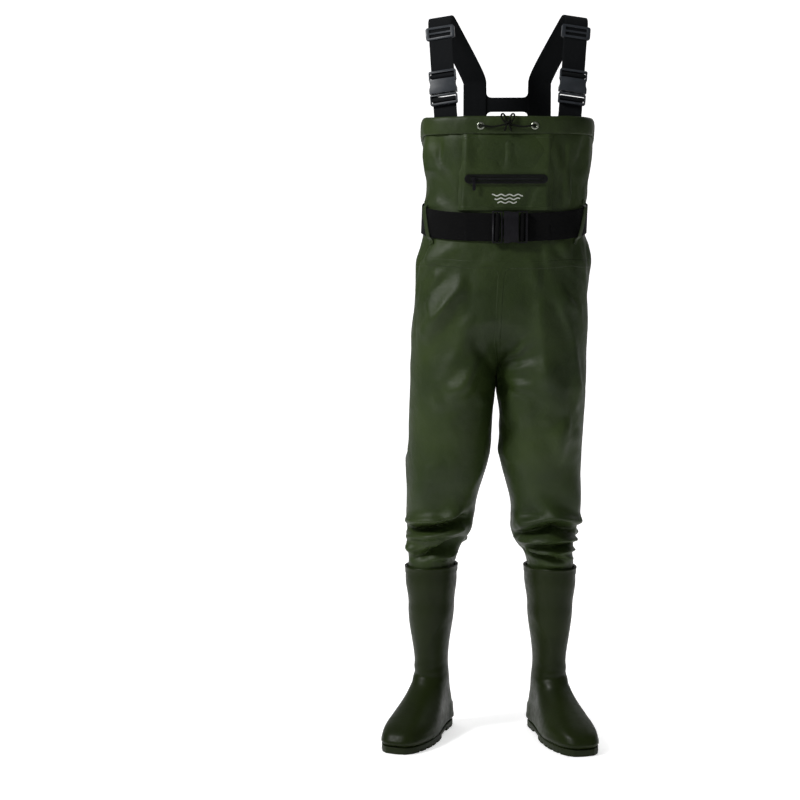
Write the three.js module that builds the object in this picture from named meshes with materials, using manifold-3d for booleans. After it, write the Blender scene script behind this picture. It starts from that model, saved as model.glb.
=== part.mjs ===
// Chest waders: coated-fabric bib and legs, moulded boots, a waist belt and
// two shoulder straps with side-release buckles. Millimetres, +Z up, the front
// faces -Y, +X is the wearer's left. The origin is on the floor between the boots.
import * as THREE from 'three';
import { mergeVertices } from 'three/addons/utils/BufferGeometryUtils.js';
import Module from 'manifold-3d';

const wasm = await Module();
wasm.setup();

const mix = THREE.MathUtils.lerp;
const smooth = (x, low, high) => THREE.MathUtils.smoothstep(x, low, high);

// ---- driving dimensions ----------------------------------------------------

// Heights above the floor, each one standing on the one before it.
const bootRim = 365;
const bootTuck = 28;
const kneeHeight = bootRim + 95;
const crotch = 775;
const thighHeight = mix(kneeHeight, crotch, 0.54);
const hipHeight = crotch + 95;
const waistSeam = crotch + 243;
const beltHeight = waistSeam + 94;
const zipperHeight = beltHeight + 79;
const bibRise = 302;
const bibTop = waistSeam + bibRise;
const bibBackTop = bibTop - 62;
const shoulderHeight = bibTop + 224;
const yokeHeight = bibTop + 45;

// Girth: half widths and half depths of the level sections.
const bibHalf = [175.5, 116];
const chestHalf = [173, 116];
const beltHalf = [171, 112];
const waistHalf = [183, 118];
const hipHalf = [190, 124];
const crotchHalf = [94.5, 114];
const thighHalf = [92.5, 106];
const kneeHalf = [72, 84];
const roundness = 2.9;

// Stance: where the legs and boots stand.
const crotchSpread = 96.5;
const thighSpread = 98;
const kneeSpread = 113;
const bootSpread = 128;
const bootSplay = THREE.MathUtils.degToRad(18);
const ankleY = 52;
const torsoY = 42;
const lean = 32;
const leanFrom = 400;
const leanTo = bibTop - 50;

// Thicknesses and clearances.
const fabric = 1.2;
const bootWall = 3;
const seamGap = 0.8;
const layerGap = 0.8;
const fitGap = 0.4;
const tuckGap = 3;
const bagGap = 2.4;

// Boots.
const bootRimHalf = [53, 73];
const calfHalf = [47, 66];
const ankleHalf = [34, 51];
const calfHeight = 280;
const ankleHeight = 150;
const footWidth = 112;
const heelNarrow = 0.36;
const heelBack = 72;
const toeFront = 222;
const soleThickness = 14;
const archHeight = 7;
const archLength = 62;
const bandHeight = 14;
const bandWall = 1.6;

// Webbing and buckles.
const webbing = 1.5;
const strapWidth = 50;
const strapSpread = 132;
const strapYaw = THREE.MathUtils.degToRad(14);
const strapFlare = THREE.MathUtils.degToRad(7.5);
const strapTilt = THREE.MathUtils.degToRad(13.3);
const strapStand = 27;
const yokeSpread = 70;
const crossbarHeight = 31;
const backStrapInset = 10.5;
const beltWidth = 58;
const beltBow = 20;
const beltLoopWidth = 13;

// Hem, drawcord and pocket.
const hemHeight = 36;
const cordRadius = 2;
const cordRoom = 6.5;
const cordDrop = 20;
const eyeletSpread = 55.6;
const eyeletRadius = 8;
const eyeletHole = 3.9;
const pocketHalf = 98;
const zipperLength = 172;
const zipperWidth = 19;
const coilWidth = 3.4;

// ---- materials -------------------------------------------------------------

const finish = (color, roughness, metalness = 0) => () =>
  new THREE.MeshStandardMaterial({ color, roughness, metalness });
const coatedFabric = finish('#39462a', 0.6);
const mouldedBoot = finish('#262e17', 0.4);
const outsoleRubber = finish('#222a13', 0.7);
const blackWebbing = finish('#1d1e20', 0.9);
const acetal = finish('#4b5054', 0.4);
const blackAcetal = finish('#111113', 0.45);
const nickel = finish('#b9c0b4', 0.3, 1);
const blackCoil = finish('#0c0e0d', 0.5);
const foam = finish('#3a3a36', 0.9);

// ---- mesh helpers ----------------------------------------------------------

const part = new THREE.Group();
const vec = (x, y, z) => new THREE.Vector3(x, y, z);

function add(name, geometry, material, parent = part) {
  const mesh = new THREE.Mesh(geometry, material());
  mesh.name = name;
  parent.add(mesh);
  return mesh;
}

// A geometry from points and triangles, turned so that its faces point out.
function closedGeometry(points, triangles) {
  let volume = 0;
  for (const [a, b, c] of triangles) {
    volume += points[a].dot(points[b].clone().cross(points[c]));
  }
  const index = triangles.flatMap(([a, b, c]) => (volume > 0 ? [a, b, c] : [a, c, b]));
  const geometry = new THREE.BufferGeometry();
  const coordinates = points.flatMap((point) => point.toArray());
  geometry.setAttribute('position', new THREE.Float32BufferAttribute(coordinates, 3));
  geometry.setIndex(index);
  return geometry;
}

const quad = (a, b, c, d) => [[a, b, c], [a, c, d]];

// A thin sheet between two faces, each a function of u and v from 0 to 1.
function sheet(columns, rows, outer, inner) {
  const points = [];
  const triangles = [];
  for (const face of [outer, inner]) {
    for (let j = 0; j <= rows; j++) {
      for (let i = 0; i <= columns; i++) points.push(face(i / columns, j / rows));
    }
  }
  const at = (face, i, j) => (face * (rows + 1) + j) * (columns + 1) + i;
  for (let j = 0; j < rows; j++) {
    for (let i = 0; i < columns; i++) {
      triangles.push(...quad(at(0, i, j), at(0, i + 1, j), at(0, i + 1, j + 1), at(0, i, j + 1)));
      triangles.push(...quad(at(1, i, j), at(1, i, j + 1), at(1, i + 1, j + 1), at(1, i + 1, j)));
    }
    triangles.push(...quad(at(0, 0, j), at(0, 0, j + 1), at(1, 0, j + 1), at(1, 0, j)));
    triangles.push(
      ...quad(at(0, columns, j), at(1, columns, j), at(1, columns, j + 1), at(0, columns, j + 1)),
    );
  }
  for (let i = 0; i < columns; i++) {
    triangles.push(...quad(at(0, i, 0), at(1, i, 0), at(1, i + 1, 0), at(0, i + 1, 0)));
    triangles.push(...quad(at(0, i, rows), at(0, i + 1, rows), at(1, i + 1, rows), at(1, i, rows)));
  }
  return closedGeometry(points, triangles);
}

// A solid through a row of sections. A closed row joins its last section to its
// first; an open one gets a flat cap at each end.
function loft(sections, closed = false) {
  const count = sections[0].length;
  const points = sections.flat();
  const triangles = [];
  const steps = closed ? sections.length : sections.length - 1;
  for (let s = 0; s < steps; s++) {
    const next = (s + 1) % sections.length;
    for (let i = 0; i < count; i++) {
      const k = (i + 1) % count;
      triangles.push(
        ...quad(s * count + i, s * count + k, next * count + k, next * count + i),
      );
    }
  }
  if (!closed) {
    const last = (sections.length - 1) * count;
    for (const [start, flip] of [[0, true], [last, false]]) {
      const centre = points.length;
      const ring = points.slice(start, start + count);
      points.push(ring.reduce((sum, p) => sum.add(p), vec(0, 0, 0)).divideScalar(count));
      for (let i = 0; i < count; i++) {
        const a = start + i;
        const b = start + ((i + 1) % count);
        triangles.push(flip ? [centre, b, a] : [centre, a, b]);
      }
    }
  }
  return closedGeometry(points, triangles);
}

// A flat band along a path of { point, across } steps.
function band(path, width, thickness) {
  const sections = path.map(({ point, across }, i) => {
    const before = path[Math.max(0, i - 1)].point;
    const after = path[Math.min(path.length - 1, i + 1)].point;
    const along = after.clone().sub(before).normalize();
    const side = across.clone().addScaledVector(along, -across.dot(along)).normalize();
    const up = along.clone().cross(side);
    const corner = (s, t) =>
      point.clone().addScaledVector(side, (s * width) / 2).addScaledVector(up, (t * thickness) / 2);
    return [corner(-1, -1), corner(1, -1), corner(1, 1), corner(-1, 1)];
  });
  return loft(sections);
}

// Boolean work: geometry in, geometry out.
function solid(geometry) {
  const bare = geometry.clone();
  bare.deleteAttribute('normal');
  bare.deleteAttribute('uv');
  const merged = mergeVertices(bare, 1e-4);
  const vertProperties = new Float32Array(merged.attributes.position.array);
  const triVerts = new Uint32Array(merged.index.array);
  return new wasm.Manifold(new wasm.Mesh({ numProp: 3, vertProperties, triVerts }));
}

function geometryOf(manifold) {
  const mesh = manifold.getMesh();
  const geometry = new THREE.BufferGeometry();
  geometry.setAttribute('position', new THREE.BufferAttribute(mesh.vertProperties, 3));
  geometry.setIndex(new THREE.BufferAttribute(mesh.triVerts, 1));
  return geometry;
}

// A box by its low and high corners.
function box(low, high) {
  const size = high.map((value, i) => value - low[i]);
  const middle = high.map((value, i) => (value + low[i]) / 2);
  return new THREE.BoxGeometry(...size).translate(...middle);
}

// An outline in the XZ plane, given thickness along Y about y = 0.
function plate(shape, thickness) {
  const options = { depth: thickness, bevelEnabled: false, curveSegments: 4 };
  const geometry = new THREE.ExtrudeGeometry(shape, options);
  return geometry.translate(0, 0, -thickness / 2).rotateX(Math.PI / 2);
}

function roundedOutline(left, bottom, right, top, radius) {
  const shape = new THREE.Shape();
  shape.moveTo(left + radius, bottom);
  shape.lineTo(right - radius, bottom);
  shape.absarc(right - radius, bottom + radius, radius, -Math.PI / 2, 0);
  shape.lineTo(right, top - radius);
  shape.absarc(right - radius, top - radius, radius, 0, Math.PI / 2);
  shape.lineTo(left + radius, top);
  shape.absarc(left + radius, top - radius, radius, Math.PI / 2, Math.PI);
  shape.lineTo(left, bottom + radius);
  shape.absarc(left + radius, bottom + radius, radius, Math.PI, Math.PI * 1.5);
  return shape;
}

// ---- body sections ---------------------------------------------------------

// Half width and half depth at a height, between rows of [height, [half, half]].
function between(rows, z) {
  if (z <= rows[0][0]) return rows[0][1];
  for (let i = 1; i < rows.length; i++) {
    const [low, lowHalf] = rows[i - 1];
    const [high, highHalf] = rows[i];
    if (z <= high) {
      const t = smooth(z, low, high);
      return lowHalf.map((value, k) => mix(value, highHalf[k], t));
    }
  }
  return rows[rows.length - 1][1];
}

// The belt draws the bib in to one size over the whole height that it covers.
const beltReach = beltBow + beltWidth / 2 + 6;
const beltLow = beltHeight - beltReach;
const beltHigh = beltHeight + beltReach;
const torsoRows = [
  [crotch, hipHalf],
  [hipHeight, hipHalf],
  [waistSeam, waistHalf],
  [beltLow, beltHalf],
  [beltHigh, beltHalf],
  [zipperHeight + zipperWidth, chestHalf],
  [bibTop, bibHalf],
];
const tuckHalf = bootRimHalf.map((half) => half - bootWall - tuckGap);
const legRows = [
  [bootRim, tuckHalf],
  [kneeHeight, kneeHalf],
  [thighHeight, thighHalf],
  [crotch, crotchHalf],
];
const legSpreadRows = [
  [bootRim, [bootSpread]],
  [kneeHeight, [kneeSpread]],
  [thighHeight, [thighSpread]],
  [crotch, [crotchSpread]],
];

const leanSlope = lean / (leanTo - leanFrom);
const torsoX = (z) => leanSlope * (THREE.MathUtils.clamp(z, leanFrom, leanTo) - leanFrom);
const rounded = (value) => Math.sign(value) * Math.abs(value) ** (2 / roundness);

// A point on the torso at an angle (0 at the wearer's left, -90 degrees at the
// front), standing off its surface by an offset.
function torsoPoint(angle, z, offset = 0) {
  const [a, b] = between(torsoRows, z);
  const x = torsoX(z) + (a + offset) * rounded(Math.cos(angle));
  return vec(x, torsoY + (b + offset) * rounded(Math.sin(angle)), z);
}

// A point on one leg's tube; side is -1 for the right leg and 1 for the left.
function legPoint(side, angle, z, offset = 0) {
  const [a, b] = between(legRows, z);
  const spread = between(legSpreadRows, z)[0];
  const middleY = mix(ankleY, torsoY, smooth(z, bootRim, crotch));
  const point = vec((a + offset) * Math.cos(angle), (b + offset) * Math.sin(angle), z);
  point.applyAxisAngle(vec(0, 0, 1), side * bootSplay * (1 - smooth(z, bootRim, kneeHeight)));
  const x = torsoX(z) * smooth(z, bootRim, kneeHeight) + side * spread;
  return point.add(vec(x, middleY, 0));
}

// The height of the bib's top edge round the body: level in front, lower behind.
const bibEdge = (angle) => mix(bibTop, bibBackTop, smooth(Math.sin(angle), -0.35, 1));

// Depth of the front surface at a distance x from the bib's middle.
function frontY(x, z, offset = 0) {
  const [a, b] = between(torsoRows, z);
  const share = Math.abs(x) / (a + offset);
  return torsoY - (b + offset) * (1 - share ** roundness) ** (1 / roundness);
}

// ---- garment ---------------------------------------------------------------

const half = Math.PI / 2;
const bodySides = 36;

function bibPanel(name, from, to, y) {
  const low = waistSeam + seamGap / 2;
  const face = (offset) => (u, v) => {
    const angle = mix(from, to, u);
    const edge = bibEdge(angle);
    const collar = Math.min(zipperHeight + zipperWidth, edge - hemHeight);
    const levels = [low, beltLow, beltHeight, beltHigh, collar, mix(collar, edge, 0.5), edge];
    const z = levels[Math.round(v * (levels.length - 1))];
    return torsoPoint(angle, z, offset).add(vec(0, y, 0));
  };
  add(name, sheet(bodySides / 2, 6, face(0), face(-fabric)), coatedFabric);
}
bibPanel('bib_front_panel', -Math.PI, 0, -seamGap / 2);
bibPanel('bib_back_panel', Math.PI, 0, seamGap / 2);

// A leg panel is half of the hips above the crotch and half of a tube below it.
function legPanel(name, side, facing) {
  const top = waistSeam - seamGap / 2;
  const low = bootRim - bootTuck;
  const outward = side > 0 ? 0 : Math.PI;
  const rows = 14;
  const face = (offset) => (u, v) => {
    const step = Math.round(v * rows);
    const z = step === 0 ? low : mix(bootRim, top, (step - 1) / (rows - 1));
    const hips = torsoPoint(facing * mix(half, outward, u), z, offset);
    const legStart = side > 0 ? Math.PI : 0;
    const legAngle = mix(legStart, outward, u);
    const leg = legPoint(side, facing * legAngle, z, offset);
    const point = leg.lerp(hips, smooth(z, crotch, hipHeight + 40));
    return point.add(vec((side * seamGap) / 2, (facing * seamGap) / 2, 0));
  };
  add(name, sheet(8, rows, face(0), face(-fabric)), coatedFabric);
}
for (const [word, side] of [['right', -1], ['left', 1]]) {
  legPanel(`${word}_leg_front_panel`, side, -1);
  legPanel(`${word}_leg_back_panel`, side, 1);
}

// Tape that seals the waist seam from inside.
{
  const tapeHeight = 20;
  const inside = -fabric - bagGap;
  const corners = [[inside, -1], [inside - fitGap, -1], [inside - fitGap, 1], [inside, 1]];
  const sections = [];
  for (let i = 0; i < bodySides; i++) {
    const angle = (i / bodySides) * 2 * Math.PI;
    sections.push(corners.map(([offset, end]) =>
      torsoPoint(angle, waistSeam + (end * tapeHeight) / 2, offset)));
  }
  add('waist_seam_tape', loft(sections, true), coatedFabric);
}

// ---- hem casing, eyelets and drawcord ----------------------------------------

const casingOut = layerGap + cordRoom + fabric;
const eyeletAngle = (side) => {
  const [a] = bibHalf;
  const cosine = (eyeletSpread / (a + casingOut)) ** (roundness / 2);
  return side > 0 ? -Math.acos(cosine) : -Math.PI + Math.acos(cosine);
};
const cordHeight = (angle) => bibEdge(angle) - cordDrop;
const eyeletPoint = (side, offset) =>
  torsoPoint(eyeletAngle(side), cordHeight(eyeletAngle(side)), offset);

// The casing is a channel open towards the bib, so the cord runs free inside it.
{
  const sections = [];
  for (let i = 0; i < bodySides; i++) {
    const angle = (i / bodySides) * 2 * Math.PI;
    const edge = bibEdge(angle);
    const profile = [
      [layerGap, 0],
      [casingOut, 0],
      [casingOut, -hemHeight],
      [layerGap, -hemHeight],
      [layerGap, fabric - hemHeight],
      [casingOut - fabric, fabric - hemHeight],
      [casingOut - fabric, -fabric],
      [layerGap, -fabric],
    ];
    sections.push(profile.map(([offset, rise]) =>
      torsoPoint(angle, edge, offset).add(vec(0, 0, rise))));
  }
  let casing = solid(loft(sections, true));
  for (const side of [-1, 1]) {
    const hole = new THREE.CylinderGeometry(eyeletHole + 1, eyeletHole + 1, 4 * fabric, 16);
    const place = eyeletPoint(side, casingOut - fabric / 2);
    casing = casing.subtract(solid(hole.translate(place.x, place.y, place.z)));
  }
  add('hem_casing', geometryOf(casing), coatedFabric);
}

// Each eyelet is a rolled ring: a barrel through the casing and a flange on it.
for (const [word, side] of [['right', -1], ['left', 1]]) {
  const flange = 1.2;
  const profile = [
    [eyeletHole, -fabric - flange],
    [eyeletHole + 0.6, -fabric - flange],
    [eyeletHole + 0.6, fitGap],
    [eyeletRadius, fitGap],
    [eyeletRadius, flange],
    [eyeletHole, flange],
    [eyeletHole, -fabric - flange],
  ].map(([x, y]) => new THREE.Vector2(x, y));
  const eyelet = add(`${word}_eyelet`, new THREE.LatheGeometry(profile, 20), nickel);
  eyelet.rotation.x = Math.PI;
  eyelet.position.copy(eyeletPoint(side, casingOut + fitGap));
}

function cord(points, steps) {
  const round = new THREE.Path().absarc(0, 0, cordRadius, 0, 2 * Math.PI);
  const section = new THREE.Shape(round.getSpacedPoints(8).slice(0, 8));
  const path = new THREE.CatmullRomCurve3(points);
  return new THREE.ExtrudeGeometry(section, { steps, extrudePath: path });
}

// The hidden run goes from one eyelet round the back to the other.
{
  const run = [];
  const stops = 40;
  const inside = layerGap + cordRoom / 2;
  const start = eyeletAngle(1) + 0.03;
  const end = eyeletAngle(-1) + 2 * Math.PI - 0.03;
  for (let i = 0; i <= stops; i++) {
    const angle = mix(start, end, i / stops);
    const point = torsoPoint(angle, bibEdge(angle), inside);
    run.push(point.setZ(cordHeight(angle)));
  }
  add('drawcord_in_casing', cord(run, 76), blackWebbing);
}

// The visible ends come out through the eyelets to the knot in the middle.
const knotRadius = 7;
const bibMiddle = torsoX(bibTop);
const cordFrontY = torsoY - bibHalf[1] - casingOut - cordRadius - 1.6;
const knotPlace = vec(bibMiddle, cordFrontY - 2, bibTop - cordDrop + 3);
for (const [word, side] of [['right', -1], ['left', 1]]) {
  const hole = eyeletPoint(side, casingOut);
  const reach = (x, y, z) => vec(hole.x - side * x, y, hole.z + z);
  const end = reach(Math.abs(hole.x - knotPlace.x) - knotRadius - 0.6, knotPlace.y, 3);
  const route = [
    reach(0, hole.y + fabric + 1.6, 0),
    reach(0.4, hole.y - 1.2, 0),
    reach(7, cordFrontY, 0.2),
    reach(26, cordFrontY - 0.6, 0),
    end,
  ];
  add(`drawcord_${word}_end`, cord(route, 20), blackWebbing);
}
{
  let knot = solid(new THREE.SphereGeometry(knotRadius, 12, 8).scale(1, 0.7, 0.8));
  for (const side of [-1, 1]) {
    const loop = [
      vec(side * 1, 0, 2),
      vec(side * 4, -1, 13),
      vec(side * 8, 0, 22),
      vec(side * 13, 1, 21),
      vec(side * 11, 0, 12),
      vec(side * 3, 0, 1),
    ];
    knot = knot.add(solid(cord(loop, 14)));
  }
  const mesh = add('drawcord_knot', geometryOf(knot), blackWebbing);
  mesh.position.copy(knotPlace);
}

// ---- chest pocket ------------------------------------------------------------

// The pocket's front is flat, so that its zipper runs straight, and comes back to
// the bib at its side edges.
const pocketTop = bibTop - hemHeight - layerGap;
const pocketLow = waistSeam + 12;
const pocketFlat = pocketHalf - 14;
function pocketPoint(x, z, offset) {
  const flat = torsoY - between(torsoRows, z)[1] - offset;
  const y = mix(flat, frontY(x, z, offset), smooth(Math.abs(x), pocketFlat, pocketHalf));
  return vec(torsoX(z) + x, y, z);
}
const pocketOut = seamGap / 2 + layerGap + fabric;
{
  const beltTop = beltHeight - beltBow + beltWidth / 2;
  const face = (offset) => (u, v) =>
    pocketPoint(mix(-pocketHalf, pocketHalf, u), mix(beltTop + 6, pocketTop, v), offset);
  add('chest_pocket_panel', sheet(12, 8, face(pocketOut), face(pocketOut - fabric)), coatedFabric);
  const bag = (offset) => (u, v) => {
    const x = mix(-pocketFlat, pocketFlat, u);
    const z = mix(pocketLow, zipperHeight + zipperWidth, v);
    const inside = frontY(x, z) + fabric + bagGap;
    return vec(torsoX(z) + x, inside + offset, z);
  };
  add('chest_pocket_bag', sheet(8, 5, bag(0), bag(2.4)), coatedFabric);
}

const zipperX = torsoX(zipperHeight);
const zipperY = torsoY - chestHalf[1] - pocketOut - fitGap;
const zipperBase = 1.4;
const coilLength = zipperLength - 24;
{
  const reach = zipperLength / 2;
  const surround = plate(
    roundedOutline(-reach, -zipperWidth / 2, reach, zipperWidth / 2, zipperWidth / 2 - 0.1),
    zipperBase,
  );
  const slot = box([-coilLength / 2 - 1, -3, -4], [coilLength / 2 + 1, 3, 4]);
  const frame = add('zipper_surround', geometryOf(solid(surround).subtract(solid(slot))), blackCoil);
  frame.position.set(zipperX, zipperY - zipperBase / 2, zipperHeight);
  const coil = box(
    [-coilLength / 2, -zipperBase, -coilWidth / 2],
    [coilLength / 2, 0, coilWidth / 2],
  );
  add('zipper_coil', coil, blackCoil).position.set(zipperX, zipperY, zipperHeight);
}

// The slider straddles the coil; its pull hangs from a bridge.
{
  const group = new THREE.Group();
  group.position.set(zipperX - coilLength / 2 + 8, zipperY - zipperBase - fitGap, zipperHeight);
  const body = solid(box([-5, -2, -3.4], [5, 0, 3.4]));
  const bridge = solid(box([-1.2, -5.8, -3], [1.2, 0, 3]));
  const eye = solid(box([-3, -4.6, -1.6], [3, -2.2, 1.8]));
  add('zipper_slider', geometryOf(body.add(bridge).subtract(eye)), blackAcetal, group);
  const tab = solid(plate(roundedOutline(-3.2, -24, 3.2, 1, 1.6), 1.2));
  const window = solid(box([-1.8, -2, -4.6], [1.8, 2, -0.6]));
  const pull = add('zipper_pull', geometryOf(tab.subtract(window)), blackAcetal, group);
  pull.position.set(0, -3.4, 0.2);
  part.add(group);
}

// ---- buckles -------------------------------------------------------------------

const railY = 3.5;
const webY = railY + fitGap + webbing / 2 + 0.7;
const barFrom = 10;
const barTo = 13;
const armRoot = 22.6;
const mouth = 25;

// The web's end, wrapped once over a ladder bar; z runs away from the web.
function barLoop(from, direction) {
  const middle = (barFrom + barTo) / 2;
  const steps = [
    [webY, middle + 2],
    [webY - 1, middle + 3.6],
    [0.6, middle + 4.1],
    [-1.9, middle + 3.2],
    [-2.7, middle],
    [-1.9, middle - 3.2],
    [0.4, middle - 4.1],
    [railY - 0.9, middle - 4],
  ];
  return steps.map(([y, z]) => vec(0, y, from + direction * z));
}

const barFront = -0.9;
const ladder = (width, from, to) =>
  solid(plate(roundedOutline(-width / 2, from, width / 2, to, 3), 2 * railY));

// The slots on each side of the bar, and the notch that sinks the web over it.
function ladderCuts(web, from, direction) {
  const cuts = [[4.4, barFrom, 20], [barTo, 19, 20], [barFrom - 1, barTo + 1, barFront]];
  return cuts.map(([near, far, back]) => {
    const [low, high] = [from + direction * near, from + direction * far].sort((p, q) => p - q);
    return solid(box([-web / 2 - 1.5, -20, low], [web / 2 + 1.5, back, high]));
  });
}

// One side-release buckle in its own frame: x across the web, z along it with the
// male half below, -y outwards. The latch arms root at the male half.
function buckle(web, male, female, arms, name, material) {
  const width = web + 8;
  const arm = width * 0.3;
  const housingTop = 55;
  const length = housingTop + 19;
  let base = ladder(width, 0, 22);
  for (const cut of ladderCuts(web, 0, 1)) base = base.subtract(cut);
  base = base.add(solid(box([-4, -2.2, 21], [4, 2.2, 50])));
  add(`${name}_male`, geometryOf(base), material, male);

  const outer = new THREE.Shape();
  outer.moveTo(-width / 2, mouth);
  outer.lineTo(width / 2, mouth);
  outer.lineTo(width / 2, mouth + 10);
  outer.quadraticCurveTo(width / 2 - 5, mouth + 19, width / 2, housingTop);
  outer.lineTo(-width / 2, housingTop);
  outer.quadraticCurveTo(-width / 2 + 5, mouth + 19, -width / 2, mouth + 10);
  let housing = solid(plate(outer, 12)).add(ladder(width, housingTop - 3, length));
  const room = width / 2 - 4;
  housing = housing.subtract(solid(box([-room, -3.4, mouth - 1], [room, 3.4, housingTop - 3])));
  housing = housing.subtract(solid(box([-width, -3.4, 40], [width, 3.4, 51.5])));
  for (const cut of ladderCuts(web, length, -1)) housing = housing.subtract(cut);
  add(`${name}_female`, geometryOf(housing), material, female);

  for (const [word, side] of arms) {
    const shape = new THREE.Shape();
    shape.moveTo(side * (arm - 2.5), armRoot);
    shape.lineTo(side * (arm + 2.5), armRoot);
    shape.lineTo(side * (room - 0.8), 40.6);
    shape.lineTo(side * (room + 2.6), 43.5);
    shape.lineTo(side * (room + 2), 48);
    shape.lineTo(side * (room - 2.5), 50.5);
    shape.lineTo(side * (room - 4.5), 48);
    shape.lineTo(side * (room - 5.5), 38);
    add(`${name}_${word}_arm`, geometryOf(solid(plate(shape, 5))), material, male);
  }
  return length;
}

// ---- shoulder straps -------------------------------------------------------------

const backStrapY = Math.min(bibHalf[1], beltHalf[1]) - backStrapInset;

function shoulderStrap(word, side) {
  const group = new THREE.Group();
  const hemY = frontY(strapSpread + strapWidth / 2, bibTop, -fabric) - 2;
  const tilted = strapStand / Math.cos(strapTilt);
  const rise = Math.sin(strapTilt) * tilted;
  group.position.set(
    torsoX(bibTop) + side * strapSpread,
    hemY - webY * Math.cos(strapTilt) + rise,
    bibTop + strapStand,
  );
  group.rotation.set(-strapTilt, side * strapFlare, side * strapYaw, 'ZXY');
  part.add(group);

  const name = `${word}_strap`;
  const arms = [['inner', -side], ['outer', side]];
  const top = buckle(strapWidth, group, group, arms, `${name}_buckle`, acetal);

  // Lower web: sewn inside the bib, up behind the male half and over its bar.
  const bend = -strapStand + 4;
  const drop = 62;
  const lowerPath = [
    vec(0, webY + Math.sin(strapTilt) * drop, bend - Math.cos(strapTilt) * drop),
    vec(0, webY, bend),
    vec(0, webY, 2),
    ...barLoop(0, 1),
  ];
  const asBand = (points) => points.map((point) => ({ point, across: vec(1, 0, 0) }));
  add(`${name}_lower_web`, band(asBand(lowerPath), strapWidth, webbing), blackWebbing, group);

  // Elastic web: over the female half's bar, straight up, then over the shoulder.
  const straightTo = (shoulderHeight - bibTop - strapStand) / Math.cos(strapTilt) - 26;
  const turn = 24;
  const upper = [...barLoop(top, -1).reverse(), vec(0, webY, top + 4), vec(0, webY, straightTo)];
  for (const degrees of [25, 50, 75, 95]) {
    const angle = THREE.MathUtils.degToRad(degrees);
    upper.push(vec(0, webY + turn * (1 - Math.cos(angle)), straightTo + turn * Math.sin(angle)));
  }
  add(`${name}_elastic_web`, band(asBand(upper), strapWidth, webbing), blackWebbing, group);

  // Slider: a sleeve on the web with three rails in front.
  const sliderLow = straightTo - 32;
  const sliderHigh = straightTo - 4;
  const width = strapWidth + 12;
  let slider = solid(
    plate(roundedOutline(-width / 2, sliderLow, width / 2, sliderHigh, 5), 7).translate(0, webY, 0),
  );
  const room = webbing / 2 + 0.5;
  const tunnel = box(
    [-strapWidth / 2 - 1, webY - room, sliderLow - 1],
    [strapWidth / 2 + 1, webY + room, sliderHigh + 1],
  );
  slider = slider.subtract(solid(tunnel));
  for (const low of [5, 16]) {
    const window = box(
      [-strapWidth / 2 + 2, webY - 9, sliderLow + low],
      [strapWidth / 2 - 2, webY, sliderLow + low + 7],
    );
    slider = slider.subtract(solid(window));
  }
  add(`${name}_slider`, geometryOf(slider), acetal, group);

  // Back strap: from the shoulder inwards and down the back into the bib.
  group.updateMatrixWorld(true);
  const [beforeLast, last] = upper.slice(-2);
  const onward = last.clone().sub(beforeLast).normalize();
  const shoulder = group.localToWorld(last.clone().addScaledVector(onward, 1.2));
  const past = group.localToWorld(last.clone().addScaledVector(onward, 14));
  const across = vec(1, 0, 0).transformDirection(group.matrixWorld);
  const backX = torsoX(bibTop) + side * yokeSpread;
  const backY = torsoY + backStrapY;
  const route = new THREE.CatmullRomCurve3([
    shoulder,
    past,
    vec(mix(shoulder.x, backX, 0.45), mix(shoulder.y, backY, 0.62), shoulderHeight - 62),
    vec(backX + side * 4, backY - 5, yokeHeight + 52),
    vec(backX, backY, yokeHeight + 30),
  ], false, 'centripetal');
  const steps = 16;
  const path = [];
  for (let i = 0; i <= steps; i++) {
    const t = i / steps;
    const turned = across.clone().lerp(vec(1, 0, 0), smooth(t, 0, 0.9));
    path.push({ point: route.getPointAt(t), across: turned });
  }
  for (const z of [yokeHeight + 22, yokeHeight - 40, bibBackTop - 52]) {
    path.push({ point: vec(backX, backY, z), across: vec(1, 0, 0) });
  }
  add(`${name}_back_web`, band(path, strapWidth, webbing), blackWebbing);
}
shoulderStrap('right', -1);
shoulderStrap('left', 1);

// The crossbar that holds the back straps apart, with a fillet at each strap.
{
  const reach = yokeSpread + strapWidth / 2;
  const inner = yokeSpread - strapWidth / 2;
  const tall = crossbarHeight / 2;
  const fillet = 12;
  const shape = new THREE.Shape();
  shape.moveTo(-inner + fillet, -tall);
  shape.lineTo(inner - fillet, -tall);
  shape.quadraticCurveTo(inner, -tall, inner, -tall - fillet);
  shape.lineTo(reach, -tall - fillet);
  shape.lineTo(reach, tall + fillet);
  shape.lineTo(inner, tall + fillet);
  shape.quadraticCurveTo(inner, tall, inner - fillet, tall);
  shape.lineTo(-inner + fillet, tall);
  shape.quadraticCurveTo(-inner, tall, -inner, tall + fillet);
  shape.lineTo(-reach, tall + fillet);
  shape.lineTo(-reach, -tall - fillet);
  shape.lineTo(-inner, -tall - fillet);
  shape.quadraticCurveTo(-inner, -tall, -inner + fillet, -tall);
  const bar = add('back_crossbar', plate(shape, webbing), blackWebbing);
  bar.position.set(torsoX(bibTop), torsoY + backStrapY + webbing + fitGap, yokeHeight - 7);
}

// ---- belt --------------------------------------------------------------------

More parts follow.
